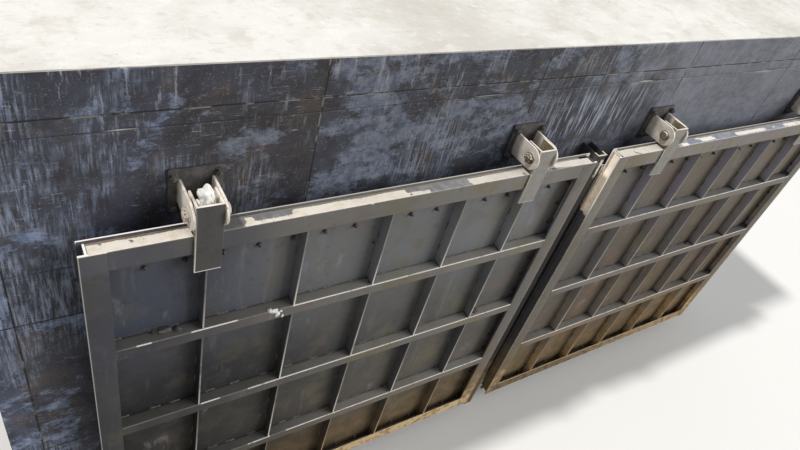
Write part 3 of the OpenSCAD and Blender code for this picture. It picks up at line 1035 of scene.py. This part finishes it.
class SLUICE_OT_pins(bpy.types.Operator):
    """Turns the hinge pins, each with a head at one end, and a castle nut and split pin at the other"""
    bl_idname = "sluice.pins"
    bl_label = "Hinge pins"

    def execute(self, context):
        for number in range(1, 5):
            node = f"hinge_pin_{number}"
            low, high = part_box(node)
            middle = hinge_centre(number)
            way = -1 if number < 3 else 1
            half, washer_r = (high.x - low.x) / 2, (high.z - low.z) / 2
            places = levels(node, AXIS_X)
            inner, head_in = places[-3] - middle.x, places[-2] - middle.x
            points = [v.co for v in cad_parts[node].data.vertices]
            head_r = max(p.z for p in points if p.x > high.x - 0.001) - middle.z
            shank, edge = head_r * 0.75, 0.0005
            washer = [(inner, washer_r - edge), (inner + edge, washer_r), (head_in - edge, washer_r),
                      (head_in, washer_r - edge)]
            other_washer = [(-a, r) for a, r in reversed(washer)]
            head = [(head_in, head_r), (half - 0.002, head_r), (half - 0.0006, head_r - 0.0008),
                    (half, head_r - 0.003)]

            def draw(bm):
                turned(bm, as_is, middle, (-way, 0, 0), [(-head_in, shank)] + other_washer
                       + [(-inner, shank), (inner, shank)] + washer + head, 40)
                nut_seat = middle + Vector((way * head_in, 0, 0))
                castle_nut(bm, nut_seat, way, head_r, half - head_in)
                split_pin(bm, nut_seat + Vector((way * (half - head_in) * 0.8, 0, 0)), way, head_r * 0.9)
            piece(node + "_turned", "headworks", draw, "rusty_pin", "pin_rust", 35, (node,))
        return {"FINISHED"}


# Leaf steel

def on_both_leaves(work):
    """Does the same work on the left leaf and on the right one"""
    for leaf in map(Leaf, SIDES):
        work(leaf)
    return {"FINISHED"}


# Stretches of the left stringers whose heels the mud has left dull, from u to u
DULL_HEELS = {
    "upper_stringer": ((0.0, 0.158), (0.223, 0.393), (0.608, 0.885)),
    "middle_stringer": ((0.0, 0.457), (0.556, 0.709)),
    "lower_stringer": ((0.0, 0.762), (0.903, 1.008)),
}


def scuff(bm, verts, amount=1.0):
    """Paints bright wear or cement on points"""
    wear = bm.verts.layers.float["wear"]
    for v in verts:
        v[wear] = amount


def rolled_angle(bm, leaf, top, leg, upward=False, dull=()):
    """Angle across the leaf: web flat at the top, front leg hanging down, or the other way up for the foot"""
    s, t = sizes(), leaf.steel
    flip = -1 if upward else 1
    strip = s.heel_strip
    corners = [(0, 0, 0.0015), (strip, 0, 0), (strip * 1.3, 0, 0), (leaf.depth, 0, 0.0008),
               (leaf.depth, -t, s.toe_round), (t, -t, s.root_round), (t, -leg, s.toe_round), (0, -leg, 0.0008),
               (0, strip - leg, 0), (0, -strip * 1.3, 0), (0, -strip, 0)]
    outline = rounded(corners)

    def ring(u, points):
        sway = 0.0006 * lumps(u, top, 0.3, 3)
        return [leaf.at(u, a + sway * (a < strip), top + flip * b) for a, b in points]
    ends = (leaf.stile_in, leaf.width - leaf.stile_in)
    breaks = {u + shift for pair in dull for u in pair for shift in (-0.004, 0.004) if u > ends[0]}
    us = sorted(breaks.union(stations(*ends, 0.15)))
    for u, row in zip(us, loft(bm, [ring(u, outline) for u in us])):
        worn = [v for v, (a, b) in zip(row, outline)
                if max(a, -b) < strip * 1.1 or (upward and b < 0.004 - leg)]
        scuff(bm, worn, 0.12 if any(a < u < b for a, b in dull) else 1.0)
    stub = rounded([(t, 0, 0.0008), (leaf.depth, 0, 0.0008), (leaf.depth, -t, s.toe_round), (t, -t, 0.0008)])
    for ends in ((t, leaf.stile_in), (leaf.width - leaf.stile_in, leaf.width - t)):
        loft(bm, [ring(u, stub) for u in ends])


def frame_member(leaf, node, draw):
    """A rolled member of a leaf's frame, in place of its node"""
    piece(leaf.name(node + "_rolled"), leaf.body, draw, "leaf_steel", "leaf_paint", 40, (leaf.name(node),))


def stile(bm, leaf, inner):
    """Front flange with a web behind it, standing down the leaf's side"""
    t, edge = leaf.steel, sizes().plate_round
    strip = sizes().heel_strip
    heights = [0, -0.003, -0.005] + stations(-0.02, -leaf.height, 0.2)

    def across(u):
        return leaf.width - u if inner else u

    def bar(corners):
        ends = (min(corners)[0], max(corners)[0])
        outline = rounded([(a, b, edge if a in ends else 0) for a, b in corners], 2)
        rings = []
        for w in heights:
            sway = 0.0007 * lumps(w, inner, 0.35, 6)
            rings.append([leaf.at(across(a + sway), b, w) for a, b in outline])
        for row in loft(bm, rings):
            scuff(bm, [v for v, (a, b) in zip(row, outline) if a < strip * 0.6 - leaf.lip], 0.5)
            scuff(bm, [v for v in row if v.co.z > leaf.top - 0.004])
    bar(((-leaf.lip, 0), (strip * 0.5 - leaf.lip, 0), (strip - leaf.lip, 0), (leaf.stile_in, 0),
         (leaf.stile_in, t), (-leaf.lip, t)))
    bar(((0, t), (t, t), (t, leaf.depth), (0, leaf.depth)))


class SLUICE_OT_leaf_frames(bpy.types.Operator):
    """Rolls the rails, stiles and stringers of both leaves"""
    bl_idname = "sluice.leaf_frames"
    bl_label = "Rails, stiles and stringers"

    def execute(self, context):
        return on_both_leaves(self.dress)

    def dress(self, leaf):
        leg, whole = leaf.rail_leg, ((0, leaf.width),)
        frame_member(leaf, "top_rail", lambda bm: rolled_angle(bm, leaf, 0, leg, dull=whole))
        frame_member(leaf, "bottom_rail", lambda bm: rolled_angle(bm, leaf, -leaf.height, leg, True))
        for name, top in zip(STRINGERS, leaf.stringers):
            dull = DULL_HEELS[name] if leaf.side == "left" else ()
            frame_member(leaf, name, lambda bm: rolled_angle(bm, leaf, top, leaf.stringer_leg, dull=dull))
        for name in ("outer_stile", "inner_stile"):
            frame_member(leaf, name, lambda bm: stile(bm, leaf, name == "inner_stile"))


class SLUICE_OT_ribs(bpy.types.Operator):
    """Finishes the flat bars between the rails and stringers"""
    bl_idname = "sluice.ribs"
    bl_label = "Ribs"

    def execute(self, context):
        return on_both_leaves(self.dress)

    def dress(self, leaf):
        node, edge, thin_from = leaf.name("ribs"), 0.003, -2.1
        ends = [0.0, *leaf.stringers, -leaf.height]
        lengths = list(zip(ends, ends[1:]))

        def worn(bm):
            """Bright front edges, dim at the top of each length between two stringers and brightest at its
            bottom
            """
            for above, below in lengths:
                for share in (0.35, 0.65):
                    cut(bm, (0, 0, leaf.top + above + (below - above) * share), (0, 0, 1))
            cut(bm, (0, leaf.front + edge + 0.001, 0), (0, 1, 0))
            for v in bm.verts:
                if v.co.y < leaf.front + edge:
                    w = v.co.z - leaf.top
                    above, below = next((a, b) for a, b in lengths if w > b - 0.001)
                    bend = 3 if above == 0 else 1.6
                    most = 0.5 if leaf.side == "left" and v.co.x < thin_from else 0.86
                    scuff(bm, [v], 0.04 + most * ((above - w) / (above - below)) ** bend)
        piece(leaf.name("rib_bars"), leaf.body, recut(node, sizes().plate_round, 2, worn), "leaf_steel",
              "leaf_paint", replaced=(node,))


class SLUICE_OT_skins(bpy.types.Operator):
    """Makes the skin plates, drawn in and out a little between the welds"""
    bl_idname = "sluice.skins"
    bl_label = "Skin plates"

    def execute(self, context):
        return on_both_leaves(self.dress)

    def dress(self, leaf):
        low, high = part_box("left_skin_plate")
        us = [low.x - leaf.web, 0, *leaf.ribs, leaf.width, high.x - leaf.web]
        ws = [low.z - leaf.top, -leaf.height, *sorted(leaf.stringers), 0, high.z - leaf.top]
        parts, wave = 8, sizes().plate_wave

        def finer(ends):
            return [a + (b - a) * k / parts for a, b in zip(ends, ends[1:]) for k in range(parts)] + ends[-1:]
        fine_us, fine_ws = finer(us), finer(ws)

        def bulge(i, j):
            cell = lumps(i // parts, j // parts, 0.7, 4 if leaf.side == "left" else 8)
            across, up = (math.sin(math.pi * (n % parts) / parts) ** 2 for n in (i, j))
            return wave * cell * across * up

        def draw(bm):
            grids = [[[bm.verts.new(leaf.at(u, v + bulge(i, j), w)) for j, w in enumerate(fine_ws)]
                      for i, u in enumerate(fine_us)] for v in (low.y - leaf.front, high.y - leaf.front)]
            for grid in grids:
                for first, second in zip(grid, grid[1:]):
                    for k in range(len(fine_ws) - 1):
                        bm.faces.new((first[k], second[k], second[k + 1], first[k + 1]))
            rim = [[g[0] for g in grid] + grid[-1][1:] + [g[-1] for g in reversed(grid)][1:] + grid[0][-2:0:-1]
                   for grid in grids]
            for n in range(len(rim[0])):
                bm.faces.new((rim[0][n - 1], rim[0][n], rim[1][n], rim[1][n - 1]))
            for v in rim[0] + rim[1]:
                if v.co.z > leaf.top + 0.002:
                    scuff(bm, [v], 1.0 if v.co.x < -2.4 else 0.35)
        piece(leaf.name("skin"), leaf.body, draw, "skin_steel", "skin_paint", 35, (leaf.name("skin_plate"),))


class SLUICE_OT_hangers(bpy.types.Operator):
    """Finishes the boxes that hang the leaves on their pins"""
    bl_idname = "sluice.hangers"
    bl_label = "Hangers"

    def execute(self, context):
        return on_both_leaves(self.dress)

    def dress(self, leaf):
        for node in map(leaf.name, HANGERS):
            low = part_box(node)[0]
            strip, share = 0.0035, 0.95 if node == "left_outer_hanger" else 0.5

            def rubbed(bm):
                """Bright strips along the foot and the left side of the strap"""
                for normal in (Vector((0, 0, 1)), Vector((1, 0, 0))):
                    for shift in (strip, strip * 1.6):
                        cut(bm, low + normal * shift, normal)
                edge = strip + 1e-4
                scuff(bm, [v for v in bm.verts if v.co.z < low.z + edge
                           or v.co.x < low.x + edge and v.co.y < leaf.front and v.co.z < leaf.top], share)
            piece(node + "_plates", leaf.body, recut(node, sizes().plate_round, 2, rubbed), "hinge_steel",
                  "hanger_paint", replaced=(node,))


# A small nut by itself on the left skin: u, w and its width
LONE_NUT = (1.310, -0.337, 0.011)


class SLUICE_OT_seals(bpy.types.Operator):
    """Finishes the rubber seals and sets their nuts on the front of the skins"""
    bl_idname = "sluice.seals"
    bl_label = "Seals and nuts"

    def execute(self, context):
        return on_both_leaves(self.dress)

    def dress(self, leaf):
        s, node = sizes(), leaf.name("seal")
        low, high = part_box("left_seal")
        u_ends = (low.x - leaf.web + s.nut_inset, high.x - leaf.web - s.nut_inset)
        w_ends = (high.z - leaf.top - s.nut_inset, low.z - leaf.top + s.nut_inset)
        row_u, row_w = stations(*u_ends, s.nut_pitch), stations(*w_ends, s.nut_pitch)
        spots = [(u, w) for w in w_ends for u in row_u] + [(u, w) for u in u_ends for w in row_w[1:-1]]
        clear = 0.02
        spots = [(u, w, s.nut_width) for u, w in spots if all(abs(u - rib) > clear for rib in leaf.ribs)
                 and all(abs(w - top) > clear for top in leaf.stringers)]
        if leaf.side == "left":
            spots.append(LONE_NUT)
        draws = random.Random(s.seed + leaf.turn)

        def draw(bm):
            for u, w, width in spots:
                hex_nut(bm, leaf.at, (u, leaf.depth, w), (0, -1, 0), width, draws.random())
        piece(leaf.name("seal_strip"), leaf.body, recut(node, 0.003), "seal_rubber", "seal_black",
              replaced=(node,))
        piece(leaf.name("seal_nuts"), leaf.body, draw, "skin_steel", "bolt_steel", 30)


class SLUICE_OT_welds(bpy.types.Operator):
    """Lays the welds of both leaves"""
    bl_idname = "sluice.welds"
    bl_label = "Leaf welds"

    def execute(self, context):
        return on_both_leaves(self.dress)

    def dress(self, leaf):
        def draw(bm):
            self.rib_welds(bm, leaf)
            self.stringer_welds(bm, leaf)
            self.hanger_welds(bm, leaf)
        piece(leaf.name("welds"), leaf.body, draw, "leaf_steel", "bolt_steel", 60)

    def rib_welds(self, bm, leaf):
        """Stitches between ribs and skin, and fillets at both ends of each rib"""
        draws = random.Random(sizes().seed)
        t, stitch, stray = leaf.steel, sizes().stitch, 0.05
        tops = [0.0] + leaf.stringers
        lows = leaf.stringers + [-leaf.height + t]
        for rib in leaf.ribs:
            for top, low in zip(tops, lows):
                for out in (-1, 1):
                    u = rib + out * leaf.rib_t / 2
                    for share in (0.2, 0.5, 0.8):
                        w = top - t + (low - top + t) * (share + draws.uniform(-stray, stray))
                        weld(bm, leaf.at, (u, leaf.depth, w - stitch / 2), (u, leaf.depth, w + stitch / 2),
                             (out, 0, 0), (0, -1, 0), seed=w)
                    for w, way in ((low, 1), (top - t, -1)):
                        weld(bm, leaf.at, (u, 2 * t, w), (u, leaf.depth - 0.005, w), (out, 0, 0), (0, 0, way),
                             seed=u)

    def stringer_welds(self, bm, leaf):
        """Stitches along the top of each stringer, and butt welds of their legs to the stiles"""
        draws = random.Random(sizes().seed + 1)
        stitch, stray, short = sizes().stitch, 0.06, 0.002
        edges = [0.0, *leaf.ribs, leaf.width]
        for top in leaf.stringers:
            for a, b in zip(edges, edges[1:]):
                for share in (0.22, 0.5, 0.78):
                    u = a + (b - a) * (share + draws.uniform(-stray, stray))
                    weld(bm, leaf.at, (u - stitch / 2, leaf.depth, top), (u + stitch / 2, leaf.depth, top),
                         (0, 0, 1), (0, -1, 0), seed=u)
        joints = [(top, leaf.stringer_leg) for top in leaf.stringers]
        joints += [(0.0, leaf.rail_leg), (-leaf.height + leaf.rail_leg, leaf.rail_leg)]
        for top, leg in joints:
            for u in (leaf.stile_in, leaf.width - leaf.stile_in):
                for out in (1, -1):
                    weld(bm, leaf.at, (u, short, top - short), (u, short, top - leg + short), (out, 0, 0),
                         (0, -0.5, 0), 0.005, seed=top)

    def hanger_welds(self, bm, leaf):
        """Fillets down both sides of each strap and along the feet of the cheeks"""
        for middle in leaf.hanger_us:
            for out in (-1, 1):
                u = middle + out * leaf.hanger_w / 2
                weld(bm, leaf.at, (u, 0, -0.004), (u, 0, -leaf.rail_leg + 0.004), (out, 0, 0), (0, -1, 0),
                     seed=u)
                weld(bm, leaf.at, (u, 0.002, 0), (u, leaf.depth - 0.004, 0), (out, 0, 0), (0, 0, 1), seed=u)


# Cement and mud

def crust(bm, wrap, us, ss, height, sink=0.0005):
    """A closed lens of hardened cement on a strip; height is its thickness, below zero where it is bare"""
    tall, made = {}, {}
    for i, u in enumerate(us):
        for j, s in enumerate(ss):
            rim = i in (0, len(us) - 1) or j in (0, len(ss) - 1)
            tall[i, j] = -1 if rim else height(u, s)

    def corner(i, j, upper):
        key = (i, j, upper and tall[i, j] > 0)
        if key not in made:
            made[key] = bm.verts.new(wrap(us[i], ss[j], tall[i, j] if key[2] else -sink))
        return made[key]
    for i in range(len(us) - 1):
        for j in range(len(ss) - 1):
            cell = ((i, j), (i + 1, j), (i + 1, j + 1), (i, j + 1))
            if max(tall[key] for key in cell) > 0:
                bm.faces.new([corner(*key, True) for key in cell])
                bm.faces.new([corner(*key, False) for key in reversed(cell)])


def round_heel(leaf):
    """Wraps a strip round the top rail's heel: s runs back along the web below zero, down the front above"""
    heel = 0.002
    turn = heel * math.pi / 4

    def wrap(u, s, h):
        if s < -turn:
            return leaf.at(u, heel - s - turn, h)
        if s > turn:
            return leaf.at(u, -h, -heel - s + turn)
        angle = (s + turn) / (2 * turn) * math.pi / 2
        out = heel + h
        return leaf.at(u, heel - out * math.sin(angle), -heel + out * math.cos(angle))
    return wrap


# Where the cement on the top rails usually ends: back along the web and down the front
USUAL_BACK, USUAL_DRIP = -0.051, 0.001

# Stretches of the left top rail that are bare towards the back, as painted shadows of the hinges and props:
# from u to u and the share of the depth
SHADOW_BARE = ((0.500, 0.605, 1.0), (0.640, 0.815, 0.5), (1.400, 1.520, 0.5), (1.520, 1.775, 1.0))

# Patches of cement on the right top rail, outward of its inner hanger, shaped as sunlit spots between shadows,
# which makes them painted sunlight: from u to u and from s to s
SUNLIT_PATCHES = (
    (2.010, 2.118, -0.026, 0.004), (1.860, 1.905, -0.050, -0.038), (1.705, 1.890, -0.046, -0.010),
    (1.085, 1.445, -0.040, -0.008), (1.250, 1.330, -0.008, 0.003), (0.940, 0.972, -0.034, -0.022),
    (0.500, 0.815, -0.042, -0.006), (0.000, 0.340, -0.050, 0.003),
)


class SLUICE_OT_rail_cement(bpy.types.Operator):
    """Spreads hardened cement along the top rails"""
    bl_idname = "sluice.rail_cement"
    bl_label = "Cement on the rails"

    def execute(self, context):
        return on_both_leaves(self.dress)

    def dress(self, leaf):
        left = leaf.side == "left"
        seed, thick, half = 2 if left else 5, sizes().cement_thick, leaf.hanger_w / 2
        inner, taper, clear, grid_u, grid_s = leaf.hanger_us[1], 0.24, 0.002, 0.004, 0.002

        def reach(u, s):
            """How far the cement goes back along the web and down the front: two values of s"""
            ragged = 0.002 * lumps(u, s, 0.010, seed)
            wander = u + 0.012 * lumps(u, s, 0.025, seed + 6)
            if not left and u < inner - half:
                found = [(low, high) for a, b, low, high in SUNLIT_PATCHES if a < wander < b]
                back, drip = found[0] if found else (0, 0)
                return back + 2 * ragged, drip + 2 * ragged
            bare = max([share for a, b, share in SHADOW_BARE if left and a < wander < b], default=0)
            back = USUAL_BACK - 0.005 * lumps(u, 1, 0.13, seed) + 0.056 * bare + (3 if bare else 1) * ragged
            drip = USUAL_DRIP + 0.03 * max(0.0, lumps(u, 4, 0.022, seed) - 0.52) + 0.3 * ragged
            if left and u > inner:
                drip -= 0.026 * max(0.0, 1 - (u - inner - half) / taper)
            if not left and u > inner:
                back, drip = back - 0.010, drip + 0.002
            return back, drip

        def height(u, s):
            near = min(abs(u - middle) for middle in leaf.hanger_us) - half
            if near < 0 and s > -0.004:
                return -1
            back, drip = reach(u, s)
            if lumps(u, s, 0.03, seed + 3) > 0.62 or not back < s < drip:
                return -1
            ends = min(1.0, min(s - back, drip - s) / 0.003)
            lump = 0.5 * lumps(u, s, 0.02, seed + 1) + 2.5 * max(0.0, lumps(u, s, 0.04, seed + 2) - 0.45)
            return thick * max(0.1, ends * (0.8 + lump))

        def draw(bm):
            us = stations(leaf.steel + clear, leaf.width - leaf.steel - clear, grid_u)
            crust(bm, round_heel(leaf), us, stations(-0.062, 0.018, grid_s), height)
        piece(leaf.name("rail_cement"), leaf.body, draw, "leaf_steel", "cement_crust", 60)


def boulder(bm, at, centre, radii, seed, rough=0.22, detail=4):
    """A crumbly lump"""
    lump = bmesh.ops.create_icosphere(bm, subdivisions=detail, radius=1.0)["verts"]
    for v in lump:
        n = v.co.copy()
        swell = 1 + rough * noise.noise(n * 1.6 + Vector((seed, 0, 0)))
        swell += rough * 0.5 * noise.noise(n * 4.0 + Vector((0, seed, 0))) + rough * 0.25 * noise.noise(n * 11)
        v.co = at(*(Vector(centre) + Vector((n.x * radii[0], n.y * radii[1], n.z * radii[2])) * swell))


class SLUICE_OT_hinge_cement(bpy.types.Operator):
    """Drops a lump of cement into the first hanger"""
    bl_idname = "sluice.hinge_cement"
    bl_label = "Cement in the hangers"

    def execute(self, context):
        leaf = Leaf("left")
        middle = leaf.hanger_us[0]

        def draw(bm):
            boulder(bm, leaf.at, (middle - 0.002, 0.042, 0.142), (0.031, 0.036, 0.060), 3, 0.4)
            boulder(bm, leaf.at, (middle - 0.03, 0.06, 0.112), (0.012, 0.02, 0.016), 6)
        piece("left_hanger_lump", leaf.body, draw, "hinge_steel", "cement_crust", 60)
        return {"FINISHED"}


# Dabs of mud and cement on stringers and top rails: leaf, finish, (u, v, w) and radii
DABS = (
    ("left", "cement_crust", (0.790, 0.003, -0.606), (0.022, 0.006, 0.014)),
    ("left", "cement_crust", (0.808, 0.001, -0.632), (0.012, 0.004, 0.020)),
    ("left", "cement_crust", (0.836, 0.001, -0.655), (0.006, 0.003, 0.014)),
    ("left", "cement_crust", (0.768, 0.008, -0.599), (0.014, 0.010, 0.006)),
    ("left", "cement_crust", (0.824, 0.001, -0.617), (0.009, 0.003, 0.007)),
    ("left", "cement_crust", (2.306, 0.014, 0.001), (0.017, 0.006, 0.004)),
    ("left", "cement_crust", (2.326, 0.008, 0.001), (0.007, 0.005, 0.003)),
    ("left", "dried_mud", (0.290, 0.046, -0.594), (0.034, 0.016, 0.010)),
    ("left", "dried_mud", (0.340, 0.038, -0.596), (0.018, 0.014, 0.008)),
    ("left", "dried_mud", (0.245, 0.050, -0.596), (0.016, 0.012, 0.007)),
    ("left", "dried_mud", (0.905, 0.050, -1.214), (0.022, 0.014, 0.012)),
    ("left", "dried_mud", (1.350, 0.045, -0.594), (0.024, 0.018, 0.012)),
    ("left", "dried_mud", (1.795, 0.048, -0.595), (0.020, 0.016, 0.010)),
    ("left", "dried_mud", (2.300, 0.040, -1.215), (0.030, 0.018, 0.012)),
    ("right", "dried_mud", (0.470, 0.048, -0.595), (0.022, 0.014, 0.010)),
    ("right", "dried_mud", (0.930, 0.045, -1.215), (0.026, 0.016, 0.010)),
    ("right", "cement_crust", (0.610, 0.004, -0.002), (0.014, 0.010, 0.006)),
    ("right", "cement_crust", (2.656, 0.034, -0.001), (0.013, 0.032, 0.004)),
)


class SLUICE_OT_dabs(bpy.types.Operator):
    """Adds dabs of mud and cement on the leaves"""
    bl_idname = "sluice.dabs"
    bl_label = "Mud and splashes"

    def execute(self, context):
        return on_both_leaves(self.dress)

    def dress(self, leaf):
        for look in ("dried_mud", "cement_crust"):
            mine = [(at, radii) for side, what, at, radii in DABS if side == leaf.side and what == look]

            def draw(bm):
                for n, (at, radii) in enumerate(mine):
                    boulder(bm, leaf.at, at, radii, n, 0.45, 3)
            piece(leaf.name(look + "_dabs"), leaf.body, draw, "leaf_steel", look, 60)


# Stage

CAMERA_AT = (-2.98635, -2.5591, 4.42668)
CAMERA_RIGHT = (0.8400, -0.4887, 0.2358)
CAMERA_UP = (0.1765, 0.6569, 0.7330)
CAMERA_BACK = (-0.5131, -0.5741, 0.6380)


class SLUICE_OT_stage(bpy.types.Operator):
    """Sets the floor, the camera and soft light"""
    bl_idname = "sluice.stage"
    bl_label = "Stage"

    def execute(self, context):
        scene = context.scene
        scene.view_settings.view_transform = "Standard"
        self.floor()
        self.lamp("high_sun", (-0.50, 0.13, 1.0), 2.3, 4, (1.0, 0.98, 0.95))
        self.lamp("soft_front", (0.80, -0.62, 0.45), 2.2, 45, (1.0, 0.98, 0.96))
        world = bpy.data.worlds.new("soft_sky")
        scene.world = world
        world.use_nodes = True
        nodes, links = world.node_tree.nodes, world.node_tree.links
        back = nodes["Background"]
        back.inputs["Color"].default_value = (0.88, 0.94, 1.0, 1)
        back.inputs["Strength"].default_value = 0.32
        seen = nodes.new("ShaderNodeBackground")
        seen.inputs["Color"].default_value = (0.9, 0.9, 0.89, 1)
        rays, blend = nodes.new("ShaderNodeLightPath"), nodes.new("ShaderNodeMixShader")
        links.new(rays.outputs["Is Camera Ray"], blend.inputs[0])
        links.new(back.outputs[0], blend.inputs[1])
        links.new(seen.outputs[0], blend.inputs[2])
        links.new(blend.outputs[0], nodes["World Output"].inputs[0])
        self.camera()
        return {"FINISHED"}

    def floor(self):
        half = 40.0
        bm = bmesh.new()
        bm.faces.new([bm.verts.new((x * half, y * half, 0)) for x, y in ((-1, -1), (1, -1), (1, 1), (-1, 1))])
        mesh = bpy.data.meshes.new("floor")
        bm.to_mesh(mesh)
        bm.free()
        obj = bpy.data.objects.new("floor", mesh)
        bpy.context.scene.collection.objects.link(obj)
        f = Finish("studio_floor")
        tone = f.mix(f.step(f.grain(1.5, 2), 0.3, 0.7, 0.0, 0.06), colours().floor, screen(215, 213, 208))
        seen = f.add("ShaderNodeLightPath").outputs["Is Camera Ray"]
        tone = f.mix(seen, screen(146, 140, 128), tone)
        mesh.materials.append(f.done(tone, 0.9, f.times(f.grain(0.01, 2), 0.0001)))

    def lamp(self, name, toward, strength, spread, colour):
        light = bpy.data.lights.new(name, "SUN")
        light.energy, light.angle, light.color = strength, math.radians(spread), colour
        obj = bpy.data.objects.new(name, light)
        obj.rotation_euler = Vector(toward).to_track_quat("Z", "Y").to_euler()
        bpy.context.scene.collection.objects.link(obj)

    def camera(self):
        eye = bpy.data.cameras.new("view")
        eye.sensor_width, eye.lens, eye.clip_end = 36.0, 28.4, 200.0
        obj = bpy.data.objects.new("view", eye)
        bpy.context.scene.collection.objects.link(obj)
        turn = Matrix((CAMERA_RIGHT, CAMERA_UP, CAMERA_BACK)).transposed()
        obj.matrix_world = Matrix.Translation(CAMERA_AT) @ turn.to_4x4()
        bpy.context.scene.camera = obj


class SLUICE_PT_panel(bpy.types.Panel):
    """Lists the gate's pieces"""
    bl_idname = "SLUICE_PT_panel"
    bl_label = "Sluice gate"
    bl_space_type = "VIEW_3D"
    bl_region_type = "UI"
    bl_category = "Sluice gate"

    def draw(self, context):
        for settings in (context.scene.sluice_sizes, context.scene.sluice_colours):
            for name in settings.__annotations__:
                self.layout.prop(settings, name)
        for operator in OPERATORS:
            self.layout.operator(operator.bl_idname)


OPERATORS = (
    SLUICE_OT_stage, SLUICE_OT_concrete, SLUICE_OT_seat_frames, SLUICE_OT_centre_post, SLUICE_OT_brackets,
    SLUICE_OT_pins, SLUICE_OT_skins, SLUICE_OT_leaf_frames, SLUICE_OT_ribs, SLUICE_OT_hangers, SLUICE_OT_seals,
    SLUICE_OT_welds, SLUICE_OT_rail_cement, SLUICE_OT_hinge_cement, SLUICE_OT_dabs,
)
CLASSES = (SluiceSizes, SluiceColours, *OPERATORS, SLUICE_PT_panel)


def register():
    for each in CLASSES:
        bpy.utils.register_class(each)
    bpy.types.Scene.sluice_sizes = PointerProperty(type=SluiceSizes)
    bpy.types.Scene.sluice_colours = PointerProperty(type=SluiceColours)


def unregister():
    del bpy.types.Scene.sluice_sizes
    del bpy.types.Scene.sluice_colours
    for each in reversed(CLASSES):
        bpy.utils.unregister_class(each)


def main():
    register()
    for operator in OPERATORS:
        group, name = operator.bl_idname.split(".")
        getattr(getattr(bpy.ops, group), name)()


if __name__ == "__main__":
    main()
